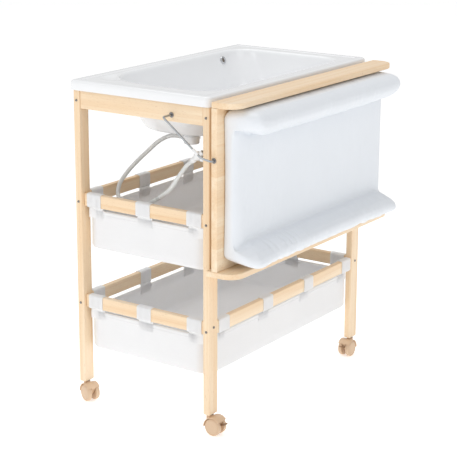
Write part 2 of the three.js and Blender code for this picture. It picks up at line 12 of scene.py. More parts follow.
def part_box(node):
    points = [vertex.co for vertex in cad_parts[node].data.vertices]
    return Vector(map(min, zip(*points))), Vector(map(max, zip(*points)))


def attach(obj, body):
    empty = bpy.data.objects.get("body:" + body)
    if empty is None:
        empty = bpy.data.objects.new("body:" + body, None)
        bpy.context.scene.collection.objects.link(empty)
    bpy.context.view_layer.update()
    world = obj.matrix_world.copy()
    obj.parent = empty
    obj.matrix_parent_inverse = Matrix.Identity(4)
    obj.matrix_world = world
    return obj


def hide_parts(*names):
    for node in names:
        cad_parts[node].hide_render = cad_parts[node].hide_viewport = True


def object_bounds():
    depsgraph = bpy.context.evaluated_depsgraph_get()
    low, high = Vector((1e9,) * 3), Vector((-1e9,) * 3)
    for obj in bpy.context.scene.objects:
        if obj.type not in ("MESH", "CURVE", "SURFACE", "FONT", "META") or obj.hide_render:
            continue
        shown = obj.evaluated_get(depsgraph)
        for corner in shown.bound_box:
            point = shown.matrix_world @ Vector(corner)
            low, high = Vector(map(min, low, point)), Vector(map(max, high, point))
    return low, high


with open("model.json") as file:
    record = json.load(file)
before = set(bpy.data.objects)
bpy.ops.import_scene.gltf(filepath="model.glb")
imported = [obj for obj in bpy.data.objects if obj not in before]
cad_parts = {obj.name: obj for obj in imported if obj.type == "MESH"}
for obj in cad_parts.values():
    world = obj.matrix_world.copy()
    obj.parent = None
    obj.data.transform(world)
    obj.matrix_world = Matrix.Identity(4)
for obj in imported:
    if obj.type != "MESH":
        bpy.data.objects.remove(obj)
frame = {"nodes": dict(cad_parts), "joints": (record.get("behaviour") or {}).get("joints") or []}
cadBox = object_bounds()
scene = bpy.context.scene
joints = {joint["name"]: joint for joint in frame["joints"]}
mm = 0.001
gap = 0.3  # millimetres between pieces that touch
corners = [f"{face}_{side}" for face in ("front", "back") for side in ("left", "right")]
print("frame loaded,", len(frame["nodes"]), "nodes")


cameraLook = {
    "place": (-3.5188, -2.3706, 1.6649),
    "heading": 34.82,  # degrees from +X towards +Y
    "down": 14.23,
    "roll": 0.13,
    "lens": 115.9,
    "sensor": 36.0,
    "shift": (0.0122, -0.0766),
}


def makeCamera(look):
    data = bpy.data.cameras.new("camera")
    data.lens = look["lens"]
    data.sensor_width = look["sensor"]
    data.shift_x, data.shift_y = look["shift"]
    data.clip_end = 100
    heading, down = math.radians(look["heading"]), math.radians(look["down"])
    level = math.cos(down)
    forward = Vector((math.cos(heading) * level, math.sin(heading) * level, -math.sin(down)))
    camera = bpy.data.objects.new("camera", data)
    camera.location = look["place"]
    camera.rotation_mode = "QUATERNION"
    turn = forward.to_track_quat("-Z", "Y")
    camera.rotation_quaternion = turn @ Matrix.Rotation(math.radians(look["roll"]), 3, "Z").to_quaternion()
    scene.collection.objects.link(camera)
    scene.camera = camera


makeCamera(cameraLook)


def meshOf(name, points, faces, smooth=True, fixNormals=True):
    mesh = bpy.data.meshes.new(name)
    mesh.from_pydata([tuple(p) for p in points], [], faces)
    if fixNormals:
        bm = bmesh.new()
        bm.from_mesh(mesh)
        bmesh.ops.recalc_face_normals(bm, faces=bm.faces)
        bm.to_mesh(mesh)
        bm.free()
    mesh.polygons.foreach_set("use_smooth", [smooth] * len(mesh.polygons))
    mesh.update()
    return mesh


def joinMeshes(name, meshes):
    bm = bmesh.new()
    for mesh in meshes:
        bm.from_mesh(mesh)
    joined = bpy.data.meshes.new(name)
    bm.to_mesh(joined)
    bm.free()
    return joined


def addPiece(name, mesh, body, material, replaced=()):
    piece = bpy.data.objects.new(name, mesh)
    scene.collection.objects.link(piece)
    mesh.materials.clear()
    mesh.materials.append(material)
    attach(piece, body)
    if replaced:
        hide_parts(*replaced)
    return piece


def bevelled(piece, width, segments=3, angle=40):
    bevel = piece.modifiers.new("edge", "BEVEL")
    bevel.width = width
    bevel.segments = segments
    bevel.limit_method = "ANGLE"
    bevel.angle_limit = math.radians(angle)
    bevel.harden_normals = True
    return piece


def stackRings(rings, capFirst=False, capLast=False, around=False):
    # quads between rings of equal length; around joins the last ring to the first
    count = len(rings[0])
    points = [p for ring in rings for p in ring]
    faces = []
    last = len(rings) if around else len(rings) - 1
    for k in range(last):
        a, b = k * count, (k + 1) % len(rings) * count
        faces += [(a + i, a + (i + 1) % count, b + (i + 1) % count, b + i) for i in range(count)]
    for wanted, start in ((capFirst, 0), (capLast, (len(rings) - 1) * count)):
        if wanted:
            points.append(sum((Vector(p) for p in rings[start // count]), Vector()) / count)
            faces += [(start + i, start + (i + 1) % count, len(points) - 1) for i in range(count)]
    return points, faces


def turned(name, profile, place, axis=(0, 0, 1), steps=48, smoothAngle=35):
    # profile: (radius, height) points in metres, closed on itself or ending on the axis
    spin = Vector(axis).to_track_quat("Z", "Y").to_matrix().to_4x4()
    rings, closed = [], profile[0] == profile[-1]
    for radius, height in (profile[:-1] if closed else profile):
        rings.append([(radius * math.cos(a), radius * math.sin(a), height)
                      for a in (2 * math.pi * i / steps for i in range(steps))])
    points, faces = stackRings(rings, around=closed)
    mesh = meshOf(name, points, faces, fixNormals=False)
    bm = bmesh.new()
    bm.from_mesh(mesh)
    bmesh.ops.remove_doubles(bm, verts=bm.verts, dist=1e-6)
    bmesh.ops.dissolve_degenerate(bm, edges=bm.edges, dist=1e-7)
    bmesh.ops.recalc_face_normals(bm, faces=bm.faces)
    bm.to_mesh(mesh)
    bm.free()
    mesh.transform(Matrix.Translation(place) @ spin)
    mesh.set_sharp_from_angle(angle=math.radians(smoothAngle))
    return mesh


def rounded(points, radius, steps=4):
    # the same (a, b) outline with its inner corners turned into small arcs
    out = [points[0]]
    for before, corner, after in zip(points, points[1:], points[2:]):
        p, c, n = Vector(before), Vector(corner), Vector(after)
        reach = min(radius, (p - c).length / 2, (n - c).length / 2)
        start, end = c + (p - c).normalized() * reach, c + (n - c).normalized() * reach
        for i in range(steps + 1):
            t = i / steps
            out.append(tuple(start * (1 - t) ** 2 + c * 2 * t * (1 - t) + end * t ** 2))
    out.append(points[-1])
    return out


def smoothPath(points, steps):
    # centripetal Catmull-Rom through the points
    path = [Vector(p) for p in points]
    path = [path[0] * 2 - path[1], *path, path[-1] * 2 - path[-2]]
    out = []
    for p0, p1, p2, p3 in zip(path, path[1:], path[2:], path[3:]):
        t1 = (p1 - p0).length ** 0.5
        t2 = t1 + (p2 - p1).length ** 0.5
        t3 = t2 + (p3 - p2).length ** 0.5
        for i in range(steps):
            t = t1 + (t2 - t1) * i / steps
            a1 = p0 * ((t1 - t) / t1) + p1 * (t / t1)
            a2 = p1 * ((t2 - t) / (t2 - t1)) + p2 * ((t - t1) / (t2 - t1))
            a3 = p2 * ((t3 - t) / (t3 - t2)) + p3 * ((t - t2) / (t3 - t2))
            b1 = a1 * ((t2 - t) / t2) + a2 * (t / t2)
            b2 = a2 * ((t3 - t) / (t3 - t1)) + a3 * ((t - t1) / (t3 - t1))
            out.append(b1 * ((t2 - t) / (t2 - t1)) + b2 * ((t - t1) / (t2 - t1)))
    return [*out, path[-2]]


def tubeMesh(name, path, radius, sides=16, radii=None):
    # closed tube; the section is carried along without twisting
    side = (path[1] - path[0]).orthogonal().normalized()
    rings = []
    for k, p in enumerate(path):
        ahead = (path[min(k + 1, len(path) - 1)] - path[max(k - 1, 0)]).normalized()
        side = (side - ahead * side.dot(ahead)).normalized()
        other = ahead.cross(side)
        r = radii[k] if radii else radius
        rings.append([p + side * (r * math.cos(a)) + other * (r * math.sin(a))
                      for a in (2 * math.pi * i / sides for i in range(sides))])
    points, faces = stackRings(rings, capFirst=True, capLast=True)
    mesh = meshOf(name, points, faces)
    mesh.set_sharp_from_angle(angle=math.radians(50))
    return mesh


def nodeGroup(name, inputs, outputs):
    group = bpy.data.node_groups.new(name, "ShaderNodeTree")
    for label, kind, value in inputs:
        socket = group.interface.new_socket(name=label, in_out="INPUT", socket_type=kind)
        if value is not None:
            socket.default_value = value
    for label, kind in outputs:
        group.interface.new_socket(name=label, in_out="OUTPUT", socket_type=kind)
    start = group.nodes.new("NodeGroupInput")
    end = group.nodes.new("NodeGroupOutput")
    return group, start, end


def link(tree, fromSocket, toSocket):
    tree.links.new(fromSocket, toSocket)


def mathNode(tree, operation, a, b=None, clamp=False):
    node = tree.nodes.new("ShaderNodeMath")
    node.operation = operation
    node.use_clamp = clamp
    for socket, value in zip(node.inputs, (a, b)):
        if value is None:
            continue
        if isinstance(value, (int, float)):
            socket.default_value = value
        else:
            link(tree, value, socket)
    return node.outputs[0]


def product(tree, a, b, clamp=False):
    return mathNode(tree, "MULTIPLY", a, b, clamp)


def total(tree, a, b, clamp=False):
    return mathNode(tree, "ADD", a, b, clamp)


def noiseNode(tree, vector, scale, detail=3, rough=0.5):
    node = tree.nodes.new("ShaderNodeTexNoise")
    node.inputs["Scale"].default_value = scale
    node.inputs["Detail"].default_value = detail
    node.inputs["Roughness"].default_value = rough
    link(tree, vector, node.inputs["Vector"])
    return node.outputs["Fac"]


def mappingNode(tree, vector, scale=(1, 1, 1), turn=(0, 0, 0), offset=None):
    node = tree.nodes.new("ShaderNodeMapping")
    node.inputs["Scale"].default_value = scale
    node.inputs["Rotation"].default_value = turn
    link(tree, vector, node.inputs["Vector"])
    if offset is not None:
        link(tree, offset, node.inputs["Location"])
    return node.outputs["Vector"]


def makeGrainGroup():
    # long streaks, short dark flecks and broad tone bands, along the vector's Z
    group, start, end = nodeGroup(
        "grain",
        [("Vector", "NodeSocketVector", None), ("Tone", "NodeSocketFloat", 0.5),
         ("Flecks", "NodeSocketFloat", 0.5)],
        [("Light", "NodeSocketFloat"), ("Fleck", "NodeSocketFloat"), ("Height", "NodeSocketFloat")])
    vector = start.outputs["Vector"]
    shift = group.nodes.new("ShaderNodeCombineXYZ")
    link(group, product(group, start.outputs["Tone"], 7.3), shift.inputs["X"])
    link(group, product(group, start.outputs["Tone"], 3.1), shift.inputs["Y"])
    bands, streaks, flecks = (
        noiseNode(group, mappingNode(group, vector, scale, offset=shift.outputs[0]), 1.0, detail, rough)
        for scale, detail, rough in (
            ((34, 34, 1.1), 2, 0.5), ((210, 210, 3.2), 4, 0.6), ((900, 900, 85), 1, 0.4)))
    fleck = product(group, mathNode(group, "SUBTRACT", flecks, 0.66), 9.0, clamp=True)
    fleck = product(group, fleck, start.outputs["Flecks"])
    light = total(group, product(group, bands, 0.62), product(group, streaks, 0.38))
    link(group, light, end.inputs["Light"])
    link(group, fleck, end.inputs["Fleck"])
    link(group, mathNode(group, "SUBTRACT", streaks, product(group, fleck, 0.6)), end.inputs["Height"])
    return group


def makeWeaveGroup():
    # plain weave on the piece's own UV map, with slubs that thicken some threads
    group, start, end = nodeGroup(
        "weave",
        [("Vector", "NodeSocketVector", None), ("Threads", "NodeSocketFloat", 900.0)],
        [("Height", "NodeSocketFloat"), ("Tone", "NodeSocketFloat")])
    vector = start.outputs["Vector"]
    parts = group.nodes.new("ShaderNodeSeparateXYZ")
    link(group, vector, parts.inputs[0])
    waves = []
    for axis in ("X", "Y"):
        at = product(group, parts.outputs[axis], start.outputs["Threads"])
        waves.append(mathNode(group, "SINE", product(group, at, math.pi)))
    over = product(group, waves[0], waves[1])
    slub = noiseNode(group, mappingNode(group, vector, (60, 420, 60)), 1.0, 2, 0.6)
    link(group, total(group, product(group, over, 0.5), slub), end.inputs["Height"])
    broad = noiseNode(group, vector, 9.0, 3, 0.5)
    link(group, total(group, product(group, broad, 0.6), product(group, slub, 0.4)), end.inputs["Tone"])
    return group


def makeSpeckleGroup():
    # fine moulded texture with slow patches of polish, for plastics, vinyl and metal
    group, start, end = nodeGroup(
        "speckle",
        [("Vector", "NodeSocketVector", None), ("Fine", "NodeSocketFloat", 1500.0),
         ("Broad", "NodeSocketFloat", 14.0)],
        [("Height", "NodeSocketFloat"), ("Patch", "NodeSocketFloat")])
    for scale, detail, result in (("Fine", 2, "Height"), ("Broad", 3, "Patch")):
        texture = group.nodes.new("ShaderNodeTexNoise")
        texture.inputs["Detail"].default_value = detail
        link(group, start.outputs["Vector"], texture.inputs["Vector"])
        link(group, start.outputs[scale], texture.inputs["Scale"])
        link(group, texture.outputs["Fac"], end.inputs[result])
    return group


grainGroup = makeGrainGroup()
weaveGroup = makeWeaveGroup()
speckleGroup = makeSpeckleGroup()


def newMaterial(name, roughness, metallic=0.0):
    material = bpy.data.materials.new(name)
    material.use_nodes = True
    shader = material.node_tree.nodes["Principled BSDF"]
    shader.inputs["Roughness"].default_value = roughness
    shader.inputs["Metallic"].default_value = metallic
    return material, material.node_tree, shader


def useGroup(tree, group, vector, **values):
    node = tree.nodes.new("ShaderNodeGroup")
    node.node_tree = group
    link(tree, vector, node.inputs["Vector"])
    for name, value in values.items():
        if isinstance(value, (int, float)):
            node.inputs[name].default_value = value
        else:
            link(tree, value, node.inputs[name])
    return node


def objectVector(tree):
    return tree.nodes.new("ShaderNodeTexCoord").outputs["Object"]


def bump(tree, shader, height, distance, strength=1.0):
    node = tree.nodes.new("ShaderNodeBump")
    node.inputs["Distance"].default_value = distance
    node.inputs["Strength"].default_value = strength
    link(tree, height, node.inputs["Height"])
    link(tree, node.outputs["Normal"], shader.inputs["Normal"])


def mixColour(tree, factor, a, b):
    node = tree.nodes.new("ShaderNodeMix")
    node.data_type = "RGBA"
    link(tree, factor, node.inputs["Factor"])
    for socket, value in ((node.inputs[6], a), (node.inputs[7], b)):
        if isinstance(value, tuple):
            socket.default_value = (*value, 1)
        else:
            link(tree, value, socket)
    return node.outputs[2]


def mapRange(tree, value, low, high, toLow, toHigh):
    node = tree.nodes.new("ShaderNodeMapRange")
    node.inputs["From Min"].default_value = low
    node.inputs["From Max"].default_value = high
    node.inputs["To Min"].default_value = toLow
    node.inputs["To Max"].default_value = toHigh
    link(tree, value, node.inputs["Value"])
    return node.outputs[0]


beechLook = {
    "pale": (0.975, 0.815, 0.61),
    "deep": (0.84, 0.575, 0.325),
    "fleck": (0.6, 0.36, 0.18),
    "roughness": 0.42,
}
grainTurns = {"z": (0, 0, 0), "x": (0, math.pi / 2, 0), "y": (math.pi / 2, 0, 0)}


def makeBeech(axis, look):
    material, tree, shader = newMaterial("beech_" + axis, look["roughness"])
    shader.inputs["Coat Weight"].default_value = 0.12
    shader.inputs["Coat Roughness"].default_value = 0.25
    vector = mappingNode(tree, objectVector(tree), turn=grainTurns[axis])
    tone = tree.nodes.new("ShaderNodeAttribute")
    tone.attribute_name = "tone"
    grain = useGroup(tree, grainGroup, vector, Tone=tone.outputs["Fac"], Flecks=0.55)
    lift = product(tree, mathNode(tree, "SUBTRACT", tone.outputs["Fac"], 0.5), 0.5)
    lightness = total(tree, mapRange(tree, grain.outputs["Light"], 0.3, 0.68, 0.08, 0.95), lift, clamp=True)
    colour = mixColour(tree, lightness, look["deep"], look["pale"])
    colour = mixColour(tree, grain.outputs["Fleck"], colour, look["fleck"])
    link(tree, colour, shader.inputs["Base Color"])
    link(tree, mapRange(tree, grain.outputs["Light"], 0.3, 0.7, 0.5, 0.36), shader.inputs["Roughness"])
    bump(tree, shader, grain.outputs["Height"], 0.00012, 0.6)
    return material


def makeSpeckled(name, colour, roughness, shade, scales, rough, by, relief, metallic=0.0, inputs=()):
    # darker patches, a roughness that follows one output of the speckle, and its relief as bump
    material, tree, shader = newMaterial(name, roughness, metallic)
    for label, value in inputs:
        shader.inputs[label].default_value = value
    speckle = useGroup(tree, speckleGroup, objectVector(tree), Fine=scales[0], Broad=scales[1])
    darker = tuple(c * shade for c in colour)
    link(tree, mixColour(tree, speckle.outputs["Patch"], darker, colour), shader.inputs["Base Color"])
    link(tree, mapRange(tree, speckle.outputs[by], 0.3, 0.7, *rough), shader.inputs["Roughness"])
    bump(tree, shader, speckle.outputs["Height"], *relief)
    return material


def makePlastic(name, colour, roughness, fine=1500, height=0.00002, coat=0.0, shade=0.93):
    return makeSpeckled(name, colour, roughness, shade, (fine, 11), (roughness - 0.06, roughness + 0.06),
                        "Patch", (height, 0.5), inputs=(("Coat Weight", coat), ("Coat Roughness", 0.08)))


def makeMetal(name, colour, roughness):
    return makeSpeckled(name, colour, roughness, 0.78, (700, 60), (roughness - 0.08, roughness + 0.1),
                        "Height", (0.00003, 0.4), metallic=1.0)


def makeCloth(name, colour, threads=1400):
    material, tree, shader = newMaterial(name, 0.88)
    shader.inputs["Sheen Weight"].default_value = 0.25
    shader.inputs["Subsurface Weight"].default_value = 0.5
    shader.inputs["Subsurface Radius"].default_value = (1, 1, 1)
    shader.inputs["Subsurface Scale"].default_value = 0.006
    shader.inputs["Sheen Roughness"].default_value = 0.6
    uv = tree.nodes.new("ShaderNodeUVMap")
    uv.uv_map = "cloth"
    weave = useGroup(tree, weaveGroup, uv.outputs["UV"], Threads=threads)
    darker = tuple(c * 0.9 for c in colour)
    link(tree, mixColour(tree, weave.outputs["Tone"], darker, colour), shader.inputs["Base Color"])
    link(tree, mapRange(tree, weave.outputs["Tone"], 0.3, 0.7, 0.92, 0.82), shader.inputs["Roughness"])
    bump(tree, shader, weave.outputs["Height"], 0.00018, 0.7)
    return material


def makeVinyl(name, colour):
    # soft pvc-coated cloth: fine leather-like grain over slow unevenness
    material, tree, shader = newMaterial(name, 0.46)
    shader.inputs["Coat Weight"].default_value = 0.15
    shader.inputs["Coat Roughness"].default_value = 0.35
    vector = objectVector(tree)
    cells = tree.nodes.new("ShaderNodeTexVoronoi")
    cells.inputs["Scale"].default_value = 850
    link(tree, vector, cells.inputs["Vector"])
    speckle = useGroup(tree, speckleGroup, vector, Fine=260, Broad=7)
    height = total(tree, product(tree, cells.outputs["Distance"], 0.6),
                   product(tree, speckle.outputs["Height"], 0.8))
    darker = tuple(c * 0.955 for c in colour)
    link(tree, mixColour(tree, speckle.outputs["Patch"], darker, colour), shader.inputs["Base Color"])
    link(tree, mapRange(tree, speckle.outputs["Height"], 0.3, 0.7, 0.4, 0.52), shader.inputs["Roughness"])
    bump(tree, shader, height, 0.00022, 0.5)
    return material


beech = {axis: makeBeech(axis, beechLook) for axis in "xyz"}
bathPlastic = makePlastic("bath_plastic", (0.9, 0.91, 0.925), 0.2, coat=0.35, height=0.00001, shade=0.975)
whitePlastic = makePlastic("white_plastic", (0.86, 0.865, 0.87), 0.35, shade=0.95)
plugRubber = makePlastic("plug_rubber", (0.72, 0.73, 0.75), 0.5)
brakePlastic = makePlastic("brake_plastic", (0.3, 0.17, 0.09), 0.42, fine=900)
darkPlastic = makePlastic("dark_plastic", (0.16, 0.125, 0.1), 0.5)
casterPlastic = makePlastic("caster_plastic", (0.8, 0.57, 0.375), 0.34, fine=900, height=0.00004, coat=0.1,
                            shade=0.9)
wheelPlastic = makePlastic("wheel_plastic", (0.76, 0.55, 0.37), 0.4, fine=900, height=0.00004, shade=0.88)
chrome = makeMetal("chrome", (0.7, 0.71, 0.73), 0.14)
armSteel = makeMetal("arm_steel", (0.46, 0.48, 0.5), 0.3)
pinSteel = makeMetal("pin_steel", (0.3, 0.29, 0.29), 0.36)
basketCloth = makeCloth("basket_cloth", (0.935, 0.94, 0.955))
matVinyl = makeVinyl("mat_vinyl", (0.83, 0.862, 0.905))
hosePlastic = makeSpeckled("hose_plastic", (0.88, 0.89, 0.88), 0.3, 0.86, (900, 30), (0.24, 0.4), "Patch",
                           (0.00004, 0.5), inputs=(("Transmission Weight", 0.2), ("IOR", 1.42)))
print("materials made")


woodLook = {"edge": 3 * mm, "segments": 4}


def setTone(mesh, tone):
    attribute = mesh.attributes.new("tone", "FLOAT", "POINT")
    attribute.data.foreach_set("value", [tone] * len(mesh.vertices))


def boxMesh(name, low, high):
    points = [(x, y, z) for x in (low.x, high.x) for y in (low.y, high.y) for z in (low.z, high.z)]
    faces = [(0, 1, 3, 2), (4, 6, 7, 5), (0, 4, 5, 1), (2, 3, 7, 6), (0, 2, 6, 4), (1, 5, 7, 3)]
    return meshOf(name, points, faces)


def makeBars(look):
    random.seed(3)
    bars = [f"post_{c}" for c in corners]
    bars += [f"{level}_rail_{side}" for level in ("top", "upper", "lower")
             for side in ("left", "right", "front", "back")]
    for node in bars:
        low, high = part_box(node)
        size = high - low
        axis = "xyz"[max(range(3), key=lambda i: size[i])]
        mesh = boxMesh(node + "_wood", low, high)
        setTone(mesh, random.uniform(0.3, 0.7))
        piece = addPiece(node + "_wood", mesh, "frame", beech[axis], [node])
        bevelled(piece, look["edge"], look["segments"])


makeBars(woodLook)

boardLook = {"edge": 1.5 * mm, "sideEdge": 2.5 * mm, "corner": 46 * mm, "staves": 7}


def makeBoard(look):
    # the panel is glued up from staves; each side board is one plank with two round corners
    random.seed(9)
    low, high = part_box("changing_board")
    cut = sorted((i + random.uniform(-0.14, 0.14)) / look["staves"] for i in range(1, look["staves"]))
    edges = [0, *cut, 1]
    tones = [random.uniform(0.25, 0.75) for _ in edges[1:]]
    points, faces, tone = [], [], []
    for y in (low.y, high.y):
        for edge in edges:
            z = low.z + (high.z - low.z) * edge
            points += [(low.x, y, z), (high.x, y, z)]
    n = len(edges)
    for k in range(n - 1):
        a = 2 * k
        b = 2 * (n + k)
        faces += [(a, a + 1, a + 3, a + 2), (b, b + 2, b + 3, b + 1),
                  (a, a + 2, b + 2, b), (a + 1, b + 1, b + 3, a + 3)]
        tone += [tones[k]] * 4
    faces += [(0, 2 * n, 2 * n + 1, 1), (2 * n - 2, 2 * n - 1, 4 * n - 1, 4 * n - 2)]
    tone += [tones[0], tones[-1]]
    mesh = meshOf("changing_board_wood", points, faces)
    attribute = mesh.attributes.new("tone", "FLOAT", "FACE")
    attribute.data.foreach_set("value", tone)
    piece = addPiece("changing_board_wood", mesh, "changing_unit", beech["x"], ["changing_board"])
    bevelled(piece, look["edge"], 3)
    for node in ("side_board_top", "side_board_bottom"):
        low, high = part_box(node)
        r = look["corner"]
        outline = [(high.x, high.y), (low.x, high.y)]
        for cx, start in ((low.x + r, math.pi), (high.x - r, math.pi * 1.5)):
            outline += [(cx + r * math.cos(start + a), low.y + r + r * math.sin(start + a))
                        for a in (math.pi / 2 * i / 20 for i in range(21))]
        points = [(x, y, z) for z in (low.z, high.z) for x, y in outline]
        n = len(outline)
        faces = [tuple(range(n)), tuple(range(n, 2 * n))]
        faces += [(i, (i + 1) % n, n + (i + 1) % n, n + i) for i in range(n)]
        mesh = meshOf(node + "_wood", points, faces)
        setTone(mesh, random.uniform(0.35, 0.6))
        piece = addPiece(node + "_wood", mesh, "changing_unit", beech["x"], [node])
        bevelled(piece, look["sideEdge"], 4)


makeBoard(boardLook)
print("wood made")


# places and sizes of the frame, read from its parts
postLow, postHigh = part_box("post_front_left")
backLow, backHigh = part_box("post_back_right")
middleY = (postLow.y + backHigh.y) / 2
halfL, halfW = backHigh.x, (backHigh.y - postLow.y) / 2
frameTop = postHigh.z
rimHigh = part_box("bath_tub")[1]
rimX, rimY, rimTop = rimHigh.x, rimHigh.y - middleY, rimHigh.z
postX = (backLow.x + backHigh.x) / 2
postY = (backLow.y + backHigh.y) / 2 - middleY


def at(x, y, z):
    # millimetres from the middle of the frame to the shared frame
    return Vector((x * mm, y * mm + middleY, z * mm))


def ringOf(outline, grow, z, cornerSteps=12, sideSteps=12):
    # closed rounded outline as evenly shared points, so rings of different outlines match
    x0, x1, y0, y1, radii = outline
    rb, lb, lf, rf = [max(r + grow, 1) for r in radii]
    centres = [(x1 + grow - rb, y1 + grow - rb, rb), (x0 - grow + lb, y1 + grow - lb, lb),
               (x0 - grow + lf, y0 - grow + lf, lf), (x1 + grow - rf, y0 - grow + rf, rf)]
    points = []
    for quarter, (cx, cy, r) in enumerate(centres):
        for i in range(cornerSteps + 1):
            a = (quarter + i / cornerSteps) * math.pi / 2
            points.append((cx + r * math.cos(a), cy + r * math.sin(a)))
        nx, ny, nr = centres[(quarter + 1) % 4]
        b = (quarter + 1) * math.pi / 2
        after = (nx + nr * math.cos(b), ny + nr * math.sin(b))
        here = points[-1]
        for i in range(1, sideSteps):
            t = i / sideSteps
            points.append((here[0] * (1 - t) + after[0] * t, here[1] * (1 - t) + after[1] * t))
    return [at(x, y, z) for x, y in points]


bathLook = {
    "wall": 4,
    "ledgeLeft": 66,
    "ledgeRight": 54,
    "ledgeSide": 43,
    "mouthRadii": (75, 150, 75, 75),
    "depth": 144,
    "stepLine": 27,  # raised border of the rim, in from its outside
    "stepDrop": 1.3,
    "soapDish": (-306, 160),
    "soapReach": (52, 40),
    "soapDepth": 6,
    "soapHole": (-279, 171),
    "soapHoleRadius": 4,
    "drain": (-212, -34),
    "drainHole": 18,
    "spigotReach": 44,  # end of the spigot from the middle of the drain
    "spigotDrop": 26,  # spigot below the floor
}


def evaluatedMesh(piece):
    graph = bpy.context.evaluated_depsgraph_get()
    graph.update()
    return bpy.data.meshes.new_from_object(piece.evaluated_get(graph), depsgraph=graph)


def cutMesh(mesh, cutter):
    # the mesh with the cutter's solid taken away
    piece, tool = (bpy.data.objects.new("cut", m) for m in (mesh, cutter))
    for o in (piece, tool):
        scene.collection.objects.link(o)
    boolean = piece.modifiers.new("cut", "BOOLEAN")
    boolean.operation = "DIFFERENCE"
    boolean.object = tool
    result = evaluatedMesh(piece)
    for o in (piece, tool):
        bpy.data.objects.remove(o)
    return result


def subdivided(mesh, levels):
    piece = bpy.data.objects.new("smooth", mesh)
    scene.collection.objects.link(piece)
    modifier = piece.modifiers.new("smooth", "SUBSURF")
    modifier.levels = modifier.render_levels = levels
    result = evaluatedMesh(piece)
    bpy.data.objects.remove(piece)
    return result


def makeBath(look):
    top, hl, hw = rimTop / mm, halfL / mm, halfW / mm
    floor, wall, ledge = top - look["depth"], look["wall"], top - look["wall"]
    rim = (-rimX / mm, rimX / mm, -rimY / mm, rimY / mm, (18,) * 4)
    mouth = (look["ledgeLeft"] - hl, hl - look["ledgeRight"], look["ledgeSide"] - hw, hw - look["ledgeSide"],
             look["mouthRadii"])
    heel = (mouth[0] + 43, mouth[1] - 30, mouth[2] + 37, mouth[3] - 37, (100, 150, 100, 100))
    base = (heel[0] + 24, heel[1] - 24, heel[2] + 26, heel[3] - 26, (80, 120, 80, 80))
    under, skirt = frameTop / mm + 0.3, frameTop / mm - 3
    line, drop = look["stepLine"], look["stepDrop"]

    def dish(p):
        # shallow soap dish in the wide corner of the ledge
        x, y = p.x / mm - look["soapDish"][0], (p.y - middleY) / mm - look["soapDish"][1]
        d = math.hypot(x / look["soapReach"][0], y / look["soapReach"][1])
        fall = 1 - min(max((d - 0.62) / 0.38, 0), 1)
        return fall * fall * (3 - 2 * fall) * look["soapDepth"] * mm

    def ledgeRings(outer, inner, steps):
        rings = []
        for k in range(steps + 1):
            t = k / steps
            ring = [a.lerp(b, t) for a, b in zip(outer, inner)]
            rings.append([p - Vector((0, 0, dish(p))) for p in ring])
        return rings

    def ringRows(*rows):
        return [ringOf(outline, grow, z) for outline, grow, z in rows]

    below = ringRows((base, 0, floor - wall), (base, 10, floor - wall + 1), (base, 16, floor - wall + 4),
                     (heel, wall, floor + 20), (mouth, wall, top - 22), (mouth, 7 + wall, ledge - 3))
    below += ledgeRings(ringOf(mouth, 14, ledge), ringOf(rim, -24, ledge), 10)
    rimRows = ((-22, ledge - 0.4), (-22, under + 0.5), (-21.5, under), (-14.5, under), (-14, under + 0.5),
               (-14, ledge - 0.4), (-13.4, ledge), (-8, ledge), (-wall, ledge - 4), (-wall, skirt + 0.6),
               (-wall + 0.6, skirt), (-0.6, skirt), (0, skirt + 0.6), (0, top - 9), (-0.8, top - 5),
               (-2.6, top - 2.2), (-6, top - 0.4), (-9, top))
    below += ringRows(*((rim, grow, z) for grow, z in rimRows))
    above = ringRows((rim, -line + 0.6, top), (rim, -line, top - 0.3), (rim, -line - 1, top - drop + 0.2))
    above += ledgeRings(ringOf(rim, -line - 2, top - drop), ringOf(mouth, 14, top - drop), 12)
    above += ringRows((mouth, 10, top - drop - 0.5), (mouth, 6, top - drop - 2), (mouth, 2.6, top - 8),
                      (mouth, 0.6, top - 14), (mouth, -0.8, top - 22), (heel, 3, floor + 40),
                      (heel, 0, floor + 24), (heel, -8, floor + 10), (base, 15, floor + 3.4),
                      (base, 8, floor + 0.8), (base, 0, floor))
    points, faces = stackRings(below + above, capFirst=True, capLast=True)
    mesh = subdivided(meshOf("bath_shell", points, faces), 1)
    for (x, y), z, radius, reach in ((look["drain"], floor, look["drainHole"], 30),
                                     (look["soapHole"], top, look["soapHoleRadius"], 9)):
        hole = [(0, -reach * mm), (radius * mm, -reach * mm), (radius * mm, reach * mm), (0, reach * mm)]
        mesh = cutMesh(mesh, turned("hole", hole, at(x, y, z)))
    mesh.polygons.foreach_set("use_smooth", [True] * len(mesh.polygons))
    mesh.set_sharp_from_angle(angle=math.radians(38))
    addPiece("bath", mesh, "frame", bathPlastic, ["bath_tub"])


makeBath(bathLook)


def mmProfile(points, radius=0.0, steps=4):
    scaled = [(r * mm, z * mm) for r, z in points]
    return rounded(scaled, radius * mm, steps) if radius else scaled


drainLook = {"cupRadius": 23, "cupDepth": 37, "neck": 17.7, "edgeRound": 0.8}


